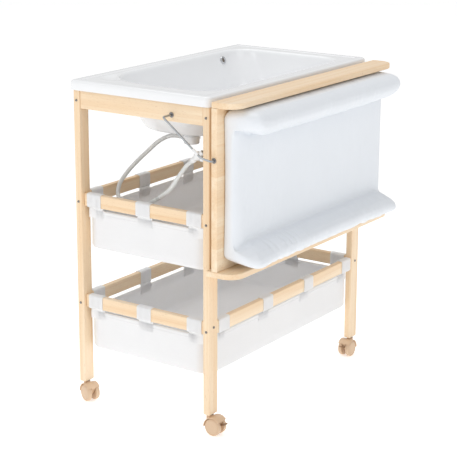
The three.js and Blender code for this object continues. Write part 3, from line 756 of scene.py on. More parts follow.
def makeDrain(look):
    floor = rimTop / mm - bathLook["depth"]
    dx, dy = bathLook["drain"]
    under = floor - bathLook["wall"] - gap
    bottom, neck, cup = under - look["cupDepth"], look["neck"], look["cupRadius"]
    bore = neck - 3
    profile = [(0, bottom), (cup - 2, bottom), (cup, bottom + 3), (cup, under - 12), (cup + 7, under - 10),
               (cup + 7, under), (neck, under), (neck, floor), (bore, floor), (bore, bottom + 5),
               (0, bottom + 5)]
    bowl = turned("cup", mmProfile(profile, look["edgeRound"]), at(dx, dy, 0), steps=64)
    ribs = turned("nut", mmProfile([(cup - 1, under - 24), (cup + 2.4, under - 24), (cup + 2.4, under - 14),
                                    (cup - 1, under - 14), (cup - 1, under - 24)]), at(dx, dy, 0), steps=12)
    y0, y1 = dy + bore + 3, dy + bathLook["spigotReach"] - gap
    profile = [(0, y0), (5, y0), (5, y1 - 9), (6, y1 - 8), (6, y1 - 1), (5.2, y1), (0, y1)]
    spigot = turned("spigot", mmProfile(profile), at(dx, 0, floor - bathLook["spigotDrop"]), axis=(0, 1, 0),
                    steps=32)
    addPiece("drain_bowl", joinMeshes("drain_bowl", [bowl, ribs, spigot]), "frame",
             bathPlastic, ["drain_cup"])
    seat, lid = bore - gap, floor + gap
    profile = [(0, lid - 12), (seat - 1, lid - 12), (seat, lid), (neck + 2, lid), (neck + 2, lid + 2),
               (5, lid + 4), (4, lid + 9), (6.5, lid + 12), (6, lid + 14.6), (0, lid + 15.5)]
    plug = turned("plug", mmProfile(profile, 1.2), at(dx, dy, 0), steps=48)
    addPiece("plug", plug, "plug", plugRubber, ["drain_plug"])
    low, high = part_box("overflow_ring")
    slope = math.atan2(37, 142 - 20 - 22)
    normal = (0, -math.cos(slope), math.sin(slope))
    ring = turned("overflow", mmProfile([(6.5, 0), (11, 0), (13, 1.2), (12, 2.6), (8, 3), (6.5, 0)]),
                  (0, 0, 0), axis=normal, steps=48)
    # dark disc set into the overflow ring's hole: painted shade of the hole behind the trim
    shadeDisc = turned("overflow_shade_disc", mmProfile([(0, 0.2), (6.6, 0.2), (6.6, 0.9), (0, 0.9)]), (0, 0, 0),
                  axis=normal, steps=24)
    centre = (low + high) / 2
    ringMiddle = sum((v.co for v in ring.vertices), Vector()) / len(ring.vertices)
    for mesh in (ring, shadeDisc):
        mesh.transform(Matrix.Translation(centre - ringMiddle))
    addPiece("overflow_trim", ring, "frame", chrome, ["overflow_ring"])
    addPiece("overflow_shade_disc", shadeDisc, "frame", darkPlastic)


makeDrain(drainLook)
print("bath made")


hoseLook = {
    "diameter": 12,
    "clipTilt": 50,
    "clipFromPost": 29,
    "clipBelowTop": 145,
    "clipEye": 6.8,
    "endFoot": 26,
    "postDepth": 22,
}


def makeHose(look):
    dx, dy = bathLook["drain"]
    spigotY = dy + bathLook["spigotReach"]
    spigotZ = rimTop / mm - bathLook["depth"] - bathLook["spigotDrop"]
    tilt = math.radians(look["clipTilt"])
    postFace = -(halfW / mm - look["postDepth"])
    clipY = postFace + look["clipFromPost"]
    clip = Vector((-postX / mm, clipY, frameTop / mm - look["clipBelowTop"]))
    along = Vector((0, -math.sin(tilt), math.cos(tilt)))
    ends = [clip + along * s for s in (-look["endFoot"] - 22.3, -look["endFoot"] - gap)]
    route = [(dx, spigotY, spigotZ), (dx, 26, spigotZ), (-212, 46, 786), (-218, 77, 769), (-231, 113, 734),
             (-245, 139, 705), (-263, 163, 671), (-285, 172, 641), (-306, 161, 615), (-323, 132, 597),
             (-335, 86, 596), (-343, 48, 606), (-349, 13, 621), (-355, -23, 642), (-363, -53, 661),
             (-372, -77, 679), (-380, -94, 695), (-385, -113, 718), *ends]
    path = smoothPath([at(*p) for p in route], 10)
    tube = tubeMesh("hose", path, look["diameter"] / 2 * mm, 24)
    hose = addPiece("hose", tube, "frame", hosePlastic, ["drain_hose"])
    foot, eye = -look["endFoot"], look["clipEye"]
    profile = [(0, foot), (7, foot), (8.2, foot + 2), (8.2, foot + 12), (eye, foot + 13), (eye, foot + 46),
               (5, foot + 47), (5, foot + 30), (0, foot + 30)]
    fitting = turned("fitting", mmProfile(profile, 0.8), at(*clip), axis=along, steps=48)
    end = addPiece("hose_fitting", fitting, "frame", whitePlastic, ["hose_end"])
    face = postFace + gap
    profile = [(eye + gap, -7), (eye + 4.5, -7), (eye + 4.5, 7), (eye + gap, 7), (eye + gap, -7)]
    collar = turned("collar", mmProfile(profile), at(*clip), axis=along, steps=48)
    arm = boxMesh("arm", at(clip.x - 5, face, clip.z - 13), at(clip.x + 5, clip.y - eye - 1, clip.z - 1))
    plate = boxMesh("plate", at(clip.x - 9, face, clip.z - 22), at(clip.x + 9, face + 3, clip.z + 10))
    holder = addPiece("hose_holder", joinMeshes("holder", [collar, arm, plate]), "frame",
                      whitePlastic, ["hose_clip"])
    bevelled(holder, 0.6 * mm, 2)


makeHose(hoseLook)
print("hose made")


basketLook = {
    "cut": (0.93, 1.27),  # flat cloth of one basket with its loops, metres
    "cutArea": 0.75,
    "height": 116,
    "drop": 9,
    "inset": 7,
    "corner": 46,
    "wall": 2.2,
    "hem": 14,
    "hemProud": 0.7,
    "sag": 9,
    "fold": 1.6,
    "loopWidth": 50,
    "loopCloth": 1.6,
    "sideLoopInset": 33,
    "endLoopInset": 37,
}


def clothMesh(name, points, faces, uvs):
    # uvs: one (u, v) in metres for each point
    mesh = meshOf(name, points, faces, fixNormals=False)
    layer = mesh.uv_layers.new(name="cloth")
    flat = np.array(uvs, float)[[loop.vertex_index for loop in mesh.loops]]
    layer.data.foreach_set("uv", flat.ravel())
    bm = bmesh.new()
    bm.from_mesh(mesh)
    bmesh.ops.recalc_face_normals(bm, faces=bm.faces)
    bm.to_mesh(mesh)
    bm.free()
    return mesh


def loopMesh(along, rail, wall, top, middle, look, spin):
    # strap of cloth: up from the wall, round the rail and back down inside itself
    thick, half = look["loopCloth"], look["loopWidth"] / 2
    side = 1 if rail > 0 else -1
    a, b, r = 9.5, 19.5, 4.0
    loop = []
    bends = ((a - r, -b + r, -0.5), (a - r, b - r, 0), (-a + r, b - r, 0.5), (-a + r, -b + r, 1.0))
    for cx, cz, start in bends:
        turns = [math.pi * (start + i / 10) for i in range(6)]
        loop += [(cx + r * math.cos(t), cz + r * math.sin(t)) for t in turns]
    inside = [(rail + side * x, middle + z) for x, z in loop]
    outside = []
    n = len(loop)
    for i, (x, z) in enumerate(loop):
        px, pz = loop[i - 1]
        nx, nz = loop[(i + 1) % n]
        t = Vector((nx - px, nz - pz)).normalized()
        outside.append((rail + side * (x + t.y * thick), middle + z - t.x * thick))
    cols = 10
    points, uvs, faces = [], [], []
    for c in range(cols + 1):
        u = -half + 2 * half * c / cols
        bulge = 0.35 * math.cos(u * 0.31 + along) * (1 - (2 * c / cols - 1) ** 2)
        for k, ((ix, iz), (ox, oz)) in enumerate(zip(inside, outside)):
            points += [(along + u, ix, iz), (along + u, ox + (ox - ix) * bulge, oz + (oz - iz) * bulge * 0.5)]
            uvs += [(u * mm, k * 5 * mm), (u * mm, k * 5 * mm + 0.1)]
    row = 2 * n
    for c in range(cols):
        for k in range(n):
            p, q = c * row + 2 * k, c * row + 2 * ((k + 1) % n)
            faces += [(p, q, q + row, p + row), (p + 1, p + 1 + row, q + 1 + row, q + 1)]
    for c in (0, cols):
        for k in range(n):
            p, q = c * row + 2 * k, c * row + 2 * ((k + 1) % n)
            faces.append((p, p + 1, q + 1, q))
    # the two layers that hang from the rail to the wall
    x0, x1 = wall - side * look["wall"], wall
    z0, z1 = top - 24, middle - b - 0.6
    base = len(points)
    rows = 6
    for c in range(cols + 1):
        u = -half + 2 * half * c / cols
        for k in range(rows + 1):
            t = k / rows
            out = side * (0.9 + 0.5 * math.sin(t * math.pi) + 0.25 * math.sin(u * 0.4 + along))
            for x, push in ((x0, -out), (x1, out)):
                points.append((along + u, x + push * (1 - t ** 3), z0 + (z1 - z0) * t))
                uvs.append((u * mm, 0.2 + (z0 + (z1 - z0) * t) * mm))
    row = 2 * (rows + 1)
    for c in range(cols):
        for k in range(rows):
            p = base + c * row + 2 * k
            faces += [(p, p + 2, p + 2 + row, p + row), (p + 1, p + 1 + row, p + 3 + row, p + 3)]
        for k in (0, rows):
            p = base + c * row + 2 * k
            faces.append((p, p + 1, p + 1 + row, p + row))
    for c in (0, cols):
        for k in range(rows):
            p = base + c * row + 2 * k
            faces.append((p, p + 1, p + 3, p + 2))
    placed = [at(*((-y, x, z) if spin else (x, y, z))) for x, y, z in points]
    return clothMesh("loop", placed, faces, uvs)


def loopPlaces(look):
    wallY = postY / mm - look["inset"]
    for x in [t * (halfL / mm - 40 - look["sideLoopInset"]) for t in (-1, -1 / 3, 1 / 3, 1)]:
        for s in (-1, 1):
            yield x, s * postY / mm, s * wallY, False
    for y in [t * (halfW / mm - 22 - look["endLoopInset"]) for t in (-1, 0, 1)]:
        for s in (-1, 1):
            yield y, s * postX / mm, s * postX / mm, True


def makeBasket(level, seed, look):
    railLow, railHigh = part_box(f"{level}_rail_front")
    middle = (railLow.z + railHigh.z) / 2 / mm
    top = railLow.z / mm - look["drop"]
    floor = top - look["height"]
    wallY = postY / mm - look["inset"]
    outline = (-postX / mm, postX / mm, -wallY, wallY, (look["corner"],) * 4)
    wall, hem, proud = look["wall"], look["hem"], look["hemProud"]
    noise.seed_set(seed)
    steps = dict(cornerSteps=14, sideSteps=44)

    def folded(ring, depth):
        # soft folds that die out at the hem and the floor
        moved = []
        for p in ring:
            flat = Vector((p.x, p.y - middleY, 0))
            n = noise.noise(Vector((flat.x * 9, flat.y * 9, seed * 3.7 + p.z * 2.2)))
            n += 0.55 * noise.noise(Vector((flat.x * 26, flat.y * 26, seed + p.z * 5)))
            n = min(max(n, -0.9), 0.5)
            away = Vector((flat.x / (postX * postX), flat.y / (wallY * mm) ** 2, 0)).normalized()
            moved.append(p + away * (look["fold"] * mm * n * depth))
        return moved

    # height, growth of the outline and depth of the folds, up the outside and down the inside
    sides = [(floor + 0.6, -7, 0), (floor + 2.4, -3, 0.2), (floor + 7, 0, 0.6), (floor + 30, 0, 1),
             (floor + 55, 0, 1), (floor + 80, 0, 1), (top - hem - 3, 0, 0.5), (top - hem, 0, 0.35),
             (top - hem + 0.8, proud, 0.3), (top - 1, proud, 0.15), (top, proud - 0.9, 0.1),
             (top, -wall - proud + 0.9, 0.1), (top - 1, -wall - proud, 0.15),
             (top - hem + 0.8, -wall - proud, 0.3), (top - hem, -wall, 0.35), (floor + 80, -wall, 1),
             (floor + 55, -wall, 1), (floor + 30, -wall, 1),
             (floor + 8, -wall, 0.6), (floor + 4, -wall - 3, 0.2), (floor + wall + 0.4, -8 - wall, 0)]
    bottomSteps = 14

    def floorRings(grow, z, order):
        # towards the middle the floor sags and keeps a little of its folds
        rings = []
        outerRing = ringOf(outline, grow, z, **steps)
        middlePoint = at(0, 0, z)
        for k in order:
            t = k / bottomSteps
            ring = []
            for p in outerRing:
                q = middlePoint.lerp(p, t)
                sag = look["sag"] * mm * (1 - t * t) ** 0.8
                ripple = noise.noise(Vector((q.x * 7, q.y * 7, seed))) * 1.6 * mm * math.sin(math.pi * t)
                ring.append(q - Vector((0, 0, sag - ripple)))
            rings.append(ring)
        return rings

    rings = floorRings(-8, floor, range(1, bottomSteps + 1))
    rings += [folded(ringOf(outline, g, z, **steps), d) for z, g, d in sides]
    rings += floorRings(-9 - wall, floor + wall, range(bottomSteps, 0, -1))
    count = len(rings[0])
    around = [0.0]
    rim = rings[bottomSteps + 3]
    for i in range(1, count):
        around.append(around[-1] + (rim[i] - rim[i - 1]).length)
    points, faces = stackRings(rings, capFirst=True, capLast=True)
    uvs = []
    for k, ring in enumerate(rings):
        flatFloor = k < bottomSteps or k >= len(rings) - bottomSteps
        uvs += [(p.x, p.y) if flatFloor else (around[i], p.z) for i, p in enumerate(ring)]
    uvs += [(0, 0), (0, 0)]
    bag = clothMesh("bag", points, faces, uvs)
    loops = [loopMesh(a, rail, w, top, middle, look, spin) for a, rail, w, spin in loopPlaces(look)]
    mesh = joinMeshes(f"{level}_bag", [bag, *loops])
    mesh.set_sharp_from_angle(angle=math.radians(60))
    basket = addPiece(f"{level}_bag", mesh, "frame", basketCloth, [f"{level}_basket"])
    seams = (top - 2.6, top - hem + 2.4)
    return basket, [folded(ringOf(outline, proud + 0.25, z, **steps), 0.2) for z in seams]


baskets = {level: makeBasket(level, seed, basketLook) for level, seed in (("upper", 1), ("lower", 2))}
print("baskets made")


matLook = {
    "thick": 35,
    "swell": 5 * mm,  # how far a point may move as the pad fills
    "voxel": 4.5 * mm,
    "pressure": 3.0,
    "steps": 14,
    "endRound": 34,
    "pucker": 9 * mm,
    "cornerRound": 36,
    "slim": 0.45,
}


def matSection(low, high):
    # (y, z) around the pad: flat back, two bolsters, flat middle, counted from the lower back
    back, tip, z0, z1 = high.y, low.y, low.z, high.z
    face = back - matLook["thick"] * mm
    lower = ((back, 0, 23), (back, -5, 14), (back, -24, 10), (tip, 34, 3), (tip, 14, 1), (tip, 4, 6),
             (tip, 1, 17), (tip, 6, 31), (tip, 22, 44), (face, -26, 55), (face, -8, 59), (face, 0, 61))
    upper = ((face, -1, 74), (face, 3, 66), (face, -8, 62), (face, -26, 66), (tip, 24, 68), (tip, 9, 60),
             (tip, 1, 44), (tip, 2, 29), (tip, 11, 15), (tip, 30, 6), (back, -30, 1), (back, -8, 0.6),
             (back, 0, 7))
    section = [(y + dy * mm, z0 + dz * mm) for y, dy, dz in lower]
    section += [(face - 2 * mm, z0 + (z1 - z0) * t) for t in (0.2, 0.34, 0.5, 0.66, 0.78)]
    return section + [(y + dy * mm, z1 - dz * mm) for y, dy, dz in upper]


def makeMat(look):
    low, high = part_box("changing_mat")
    section = matSection(low, high)
    n = len(section)
    fine = []
    for i in range(n):
        a, b = Vector(section[i]), Vector(section[(i + 1) % n])
        parts = max(1, round((b - a).length / (9 * mm)))
        fine += [a.lerp(b, k / parts) for k in range(parts)]
    middle = Vector((high.y - 24 * mm, (low.z + high.z) / 2))
    half, corner = (high.z - low.z) / 2, look["cornerRound"] * mm

    def cornerKeep(d):
        # the outline's corners turn in over the last stretch of the pad
        t = min(d / corner, 1)
        return 1 - corner * 0.72 * (1 - math.sqrt(max(0.0, 1 - (1 - t) ** 2))) / half

    rings = []
    length, endRound = high.x - low.x, look["endRound"] * mm
    inset = [0.0, 0.5, 1.6, 3.6, 6.6, 10.5, 15.0, 20.5, 28.0, 36.0]
    xs = [low.x + d * mm for d in inset]
    xs += [low.x + 36 * mm + (length - 72 * mm) * k / 40 for k in range(1, 40)]
    xs += [high.x - d * mm for d in reversed(inset)]
    for x in xs:
        d = min(x - low.x, high.x - x)
        t = min(d / endRound, 1)
        pull = math.sqrt(max(0.0, 1 - (1 - t) ** 2))
        ring = []
        for p in fine:
            # only the front of the pad rounds off at its ends; the back stays on the board
            depth = (high.y - p.x) / (high.y - low.y)
            keepY = 1 - (1 - pull) * (0.34 + 0.36 * depth)
            # towards its ends each bolster grows slimmer, so its crease turns outwards
            edge = half - abs(p.y - middle.y)
            nearEdge = min(max((150 * mm - edge) / (75 * mm), 0), 1)
            slim = look["slim"] * (1 - min(d / (70 * mm), 1)) ** 2 * nearEdge
            z = math.copysign(half - edge * (1 - slim), p.y - middle.y) * cornerKeep(d)
            ring.append((x, high.y - (high.y - p.x) * keepY, middle.y + z))
        rings.append(ring)
    points, faces = stackRings(rings, capFirst=True, capLast=True)
    mesh = meshOf("pad", points, faces)
    pad = bpy.data.objects.new("pad", mesh)
    scene.collection.objects.link(pad)
    remesh = pad.modifiers.new("even", "REMESH")
    remesh.mode = "VOXEL"
    remesh.voxel_size = look["voxel"]
    remesh.use_smooth_shade = True
    mesh = evaluatedMesh(pad)
    pad.modifiers.clear()
    pad.data = mesh
    before = np.array([v.co[:] for v in mesh.vertices])
    cloth = pad.modifiers.new("fill", "CLOTH")
    cloth.settings.use_pressure = True
    cloth.settings.uniform_pressure_force = look["pressure"]
    cloth.settings.effector_weights.gravity = 0
    cloth.settings.tension_stiffness = 12
    cloth.settings.bending_stiffness = 4
    cloth.settings.mass = 0.25
    cloth.point_cache.frame_start = 1
    cloth.point_cache.frame_end = look["steps"]
    for f in range(1, look["steps"] + 1):
        scene.frame_set(f)
    mesh = evaluatedMesh(pad)
    pad.modifiers.clear()
    pad.data = mesh
    after = np.array([v.co[:] for v in mesh.vertices])
    move = after - before
    size = np.linalg.norm(move, axis=1, keepdims=True)
    move *= np.minimum(1, look["swell"] / np.maximum(size, 1e-9)) * 0.8
    co = before + move
    co[:, 0] = np.clip(co[:, 0], low.x, high.x)
    co[:, 1] = np.minimum(co[:, 1], high.y)
    co[:, 2] = np.clip(co[:, 2], low.z - 6 * mm, high.z + 1.5 * mm)
    # puckers run across the bolsters, deepest beside the crease and at the tip seam
    normals = np.array([v.normal[:] for v in mesh.vertices])
    noise.seed_set(5)
    for i, (x, y, z) in enumerate(co):
        proud = (high.y - 38 * mm - y) / (72 * mm)
        if proud <= 0 or normals[i][1] > 0.6:
            continue
        share = min(proud, 1)
        wave = 0.12 - 0.6 * abs(noise.noise(Vector((x * 19 + z * 3, z * 4, y * 5))))
        wave += 0.16 - 0.8 * abs(noise.noise(Vector((x * 44 - z * 6, z * 7, y * 7))))
        slow = min(max(0.55 + 1.1 * noise.noise(Vector((x * 5, z * 3, 1.5))), 0.1), 1)
        co[i] += normals[i] * wave * slow * look["pucker"] * (0.3 + 0.7 * share)
    co[:, 1] = np.maximum(co[:, 1], cadBox[0][1] + 0.5 * mm)
    mesh.vertices.foreach_set("co", co.ravel())
    mesh.update()
    bpy.data.objects.remove(pad)
    mesh = subdivided(mesh, 1)
    mesh.polygons.foreach_set("use_smooth", [True] * len(mesh.polygons))
    mat = addPiece("mat", mesh, "changing_unit", matVinyl, ["changing_mat"])
    print("mat:", len(mesh.polygons), "faces")


makeMat(matLook)
scene.frame_set(1)
print("mat made")


armLook = {
    "diameter": 6,
    "bend": 7,
    "crankRun": 32,
    "sleeve": (34, 13),  # its ends, back from the crank
    "sleeveRadius": 4.6,
    "railInset": 2,
    "railThick": 19,
    "capRoom": 8,
}


def bushMesh(name, length, place, axis):
    profile = [(3.3, -length), (5.5, -length), (5.5, gap), (7.5, gap), (7.5, 2), (6, 3), (3.3, 3),
               (3.3, -length)]
    return turned(name, mmProfile(profile, 0.5), place, axis=axis)


def makeArms(look):
    radius = look["diameter"] / 2 * mm
    for side, x in (("left", -1), ("right", 1)):
        swing, turn = Vector(joints["arm_swing"]["pos_m"]), Vector(joints["board_turn"]["pos_m"])
        armLow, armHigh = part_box(f"swing_arm_{side}")
        plane = (armHigh.x if x > 0 else -armLow.x) - radius
        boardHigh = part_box("changing_board")[1]
        inner = halfL - (look["railInset"] + look["railThick"] + look["capRoom"]) * mm
        boardEnd = boardHigh.x - 17 * mm
        b = look["bend"] * mm
        crank = Vector((0, turn.y + look["crankRun"] * mm, turn.z + 5 * mm))
        run = (crank - Vector((0, swing.y, swing.z))).normalized()

        def spot(px, base, along=0.0, dy=0.0, dz=0.0):
            return Vector((x * px, base.y + run.y * along + dy, base.z + run.z * along + dz))

        way = [spot(inner, swing), spot(plane - b * 2, swing), spot(plane - b, swing),
               spot(plane - 1.6 * mm, swing, 2 * mm), spot(plane, swing, b), spot(plane, swing, b * 2),
               spot(plane, crank, -b * 2), spot(plane, crank, -b * 0.8),
               spot(plane, crank, 0, -b * 0.9, -0.6 * mm),
               spot(plane, turn, 0, b * 1.3, 1.6 * mm), spot(plane - 1.6 * mm, turn, 0, 2.2 * mm, 0.3 * mm),
               spot(plane - b, turn), spot(plane - b * 1.6, turn), spot(boardEnd, turn)]
        path = smoothPath(way, 8)
        rod = tubeMesh("rod", path, radius, 20)
        arm = addPiece(f"arm_{side}", rod, "swing_arms", armSteel, [f"swing_arm_{side}"])
        reach = (crank - Vector((0, swing.y, swing.z))).length
        s0, s1 = (reach - back * mm for back in look["sleeve"])
        bore, full = 3.15, look["sleeveRadius"]
        edge = 1.2 * mm
        profile = [(bore, s0), (full - 0.6, s0), (full, s0 + edge), (full, s1 - edge), (full - 0.6, s1),
                   (bore, s1), (bore, s0)]
        sleeve = turned("sleeve", [(r * mm, z) for r, z in profile], (x * plane, swing.y, swing.z), axis=run,
                        steps=32)
        addPiece(f"sleeve_{side}", sleeve, "swing_arms", whitePlastic)
        cap = turned("cap", mmProfile([(0, gap), (6, gap), (6, 4), (4, 6), (0, 6)], 1),
                     (x * inner, swing.y, swing.z), axis=(-x, 0, 0), steps=40)
        addPiece(f"end_cap_{side}", cap, "swing_arms", darkPlastic, [f"arm_cap_{side}"])
        face = halfL - look["railInset"] * mm
        railEye = bushMesh("eye", 19, (x * face, swing.y, swing.z), (x, 0, 0))
        addPiece(f"rail_eye_{side}", railEye, "frame", pinSteel, [f"rail_bush_{side}"])
        boardEye = bushMesh("eye", 22, (x * boardHigh.x, turn.y, turn.z), (x, 0, 0))
        addPiece(f"board_eye_{side}", boardEye, "changing_unit", pinSteel,
                 [f"board_bush_{side}"])


makeArms(armLook)
print("arms made")


casterLook = {
    "radius": 25,
    "thick": 13,
    "gap": 14,
    "trail": 18,
    "turn": {"front_left": -90, "front_right": 180, "back_left": -110, "back_right": -105},
    "braked": ("front_left", "front_right"),
    "postBottom": 58,
    "hoodFrom": 0.22,
    "hoodTo": 1.02,
    "brakeLift": 0.11,
}


def extruded(name, outline, y0, y1):
    # (x, z) outline made solid from y0 to y1, millimetres
    n = len(outline)
    points = [(x * mm, y * mm, z * mm) for y in (y0, y1) for x, z in outline]
    faces = [tuple(range(n)), tuple(range(2 * n - 1, n - 1, -1))]
    faces += [(i, (i + 1) % n, n + (i + 1) % n, n + i) for i in range(n)]
    return meshOf(name, points, faces)


def arc(cx, cz, r, a0, a1, steps):
    return [(cx + r * math.cos(a0 + (a1 - a0) * i / steps), cz + r * math.sin(a0 + (a1 - a0) * i / steps))
            for i in range(steps + 1)]


def bevelMesh(mesh, width, segments=3, angle=40):
    piece = bpy.data.objects.new("bevel", mesh)
    scene.collection.objects.link(piece)
    bevelled(piece, width, segments, angle)
    result = evaluatedMesh(piece)
    bpy.data.objects.remove(piece)
    return result


def makeCasters(look):
    R, thick, trail = look["radius"], look["thick"], look["trail"]
    half, span, bottom = look["gap"] / 2, look["gap"] / 2 + look["thick"], look["postBottom"]
    inner, outer = R + 1.5, R + 4
    a0, a1 = look["hoodFrom"] * math.pi, look["hoodTo"] * math.pi
    shellLine = arc(trail, R, outer, a0, a1, 40) + arc(trail, R, inner, a1, a0, 40)
    shell = bevelMesh(extruded("shell", [p for p in shellLine if p[1] > 4], -span, span), 0.9 * mm)
    webLine = arc(trail, R, outer - 1, a0, a1, 32)
    webLine += arc(trail, R, 9, a1 + 0.2 * math.pi, a0 + 1.6 * math.pi, 16)
    web = extruded("web", [(x, max(z, 4.2)) for x, z in webLine], -half + 1.5, half - 1.5)
    web = bevelMesh(web, 0.5 * mm, 2)
    boss = boxMesh("boss", Vector((-10, -half + 0.5, R + 8)) * mm, Vector((10, half - 0.5, bottom - 4)) * mm)
    boss = bevelMesh(boss, 1.5 * mm)
    z0, z1 = inner + R + 0.5, bottom - 3
    collar = [(4.3, z0), (10, z0), (10, z1), (4.3, z1), (4.3, z0)]
    collar = turned("collar", mmProfile(collar, 0.6), (0, 0, 0))
    tyre = mmProfile([(0, thick - 2.6), (3.3, thick - 2.6), (3.3, 0), (R - 1.5, 0), (R, 1.5),
                      (R, thick - 3.5), (R - 1, thick - 1.6), (R - 3.4, thick - 0.3),
                      (R - 4, thick - 0.3), (R - 4.3, thick - 1),
                      (R - 4.9, thick - 1), (R - 5.2, thick - 0.2), (0, thick)], 0.5, 3)
    stemProfile = mmProfile([(0, R + 16), (4, R + 16), (4, bottom - 2.4), (9, bottom - 2.4),
                             (9, bottom - gap), (4, bottom - gap), (4, bottom + 25), (0, bottom + 26)], 0.4)
    neck = boxMesh("neck", Vector((17.7, -3, -1.8)) * mm, Vector((R + 8, 3, 1.8)) * mm)
    pedal = boxMesh("pedal", Vector((R + 4, -9, -2)) * mm, Vector((R + 12, 9, 2)) * mm)
    lever = joinMeshes("lever", [bevelMesh(neck, 0.6 * mm), bevelMesh(pedal, 1.2 * mm, 4)])
    lift = Matrix.Rotation(look["brakeLift"] * math.pi, 4, "Y").inverted()
    lever.transform(Matrix.Translation(Vector((trail, 0, R)) * mm) @ lift)
    for corner in corners:
        x = -1 if corner.endswith("left") else 1
        y = -1 if corner.startswith("front") else 1
        place = Matrix.Translation((x * postX, y * postY + middleY, 0))
        place @= Matrix.Rotation(math.radians(look["turn"][corner]), 4, "Z")

        def placed(mesh):
            copy = mesh.copy()
            copy.transform(place)
            return copy

        hood = joinMeshes("hood", [shell, web, boss, collar])
        hood.transform(place)
        hood.set_sharp_from_angle(angle=math.radians(40))
        addPiece(f"hood_{corner}", hood, f"caster_{corner}", casterPlastic,
                 [f"caster_hood_{corner}"])
        stem = placed(turned("stem", stemProfile, (0, 0, 0)))
        addPiece(f"stem_{corner}", stem, "frame", pinSteel, [f"caster_stem_{corner}"])
        pin = turned("pin", mmProfile([(0, -span + 3), (3, -span + 3), (3, span - 3), (0, span - 3)], 0.5),
                     Vector((trail, 0, R)) * mm, axis=(0, 1, 0), steps=24)
        addPiece(f"pin_{corner}", placed(pin), f"caster_{corner}", pinSteel,
                 [f"caster_axle_{corner}"])
        for letter, s in (("a", -1), ("b", 1)):
            wheel = turned("wheel", tyre, Vector((trail, s * half, R)) * mm, axis=(0, s, 0), steps=72)
            part = f"wheel_{letter}_{corner}"
            addPiece(part, placed(wheel), part, wheelPlastic, [f"caster_{part}"])
        if corner in look["braked"]:
            addPiece(f"brake_{corner}", placed(lever), f"brake_{corner}", brakePlastic,
                     [f"brake_lever_{corner}"])


makeCasters(casterLook)
print("casters made")


def inputId(tree, name):
    return next(s.identifier for s in tree.interface.items_tree if s.name == name and s.in_out == "INPUT")


def repeatTree(name, sizes):
    # empty geometry tree: geometry in, named sizes, material, geometry out
    tree = bpy.data.node_groups.new(name, "GeometryNodeTree")
    tree.interface.new_socket(name="Geometry", in_out="INPUT", socket_type="NodeSocketGeometry")
    for label, value in sizes:
        socket = tree.interface.new_socket(name=label, in_out="INPUT", socket_type="NodeSocketFloat")
        socket.default_value = value
    tree.interface.new_socket(name="Material", in_out="INPUT", socket_type="NodeSocketMaterial")
    tree.interface.new_socket(name="Geometry", in_out="OUTPUT", socket_type="NodeSocketGeometry")
    return tree, tree.nodes.new("NodeGroupInput"), tree.nodes.new("NodeGroupOutput")


def standOn(tree, start, end, places, shape, turn):
    # one copy of the shape on each place, made real, smooth and painted
    points = tree.nodes.new("GeometryNodeInstanceOnPoints")
    link(tree, places, points.inputs["Points"])
    link(tree, shape, points.inputs["Instance"])
    link(tree, turn.outputs["Rotation"], points.inputs["Rotation"])
    realize = tree.nodes.new("GeometryNodeRealizeInstances")
    paint = tree.nodes.new("GeometryNodeSetMaterial")
    smooth = tree.nodes.new("GeometryNodeSetShadeSmooth")
    link(tree, points.outputs["Instances"], realize.inputs["Geometry"])
    link(tree, realize.outputs[0], smooth.inputs["Geometry"])
    link(tree, smooth.outputs[0], paint.inputs["Geometry"])
    link(tree, start.outputs["Material"], paint.inputs["Material"])
    link(tree, paint.outputs[0], end.inputs["Geometry"])


def makeScrewTree():
    # domed head with a dark socket ring, standing on each point along its "way"
    tree, start, end = repeatTree("screws", [("Head Radius", 5 * mm), ("Head Height", 1.2 * mm),
                                             ("Socket Radius", 2.2 * mm)])
    dome = tree.nodes.new("GeometryNodeMeshCone")
    dome.inputs["Vertices"].default_value = 28
    dome.inputs["Side Segments"].default_value = 3
    link(tree, product(tree, start.outputs["Head Radius"], 0.78), dome.inputs["Radius Top"])
    link(tree, start.outputs["Head Radius"], dome.inputs["Radius Bottom"])
    link(tree, start.outputs["Head Height"], dome.inputs["Depth"])
    lip = tree.nodes.new("GeometryNodeMeshCone")
    lip.inputs["Vertices"].default_value = 6
    link(tree, start.outputs["Socket Radius"], lip.inputs["Radius Top"])
    link(tree, product(tree, start.outputs["Socket Radius"], 1.25), lip.inputs["Radius Bottom"])
    link(tree, product(tree, start.outputs["Head Height"], 1.25), lip.inputs["Depth"])
    both = tree.nodes.new("GeometryNodeJoinGeometry")
    link(tree, dome.outputs["Mesh"], both.inputs[0])
    link(tree, lip.outputs["Mesh"], both.inputs[0])
    way = tree.nodes.new("GeometryNodeInputNamedAttribute")
    way.data_type = "FLOAT_VECTOR"
    way.inputs["Name"].default_value = "way"
    turn = tree.nodes.new("FunctionNodeAlignRotationToVector")
    turn.axis = "Z"
    link(tree, way.outputs["Attribute"], turn.inputs["Vector"])
    standOn(tree, start, end, start.outputs["Geometry"], both.outputs[0], turn)
    return tree


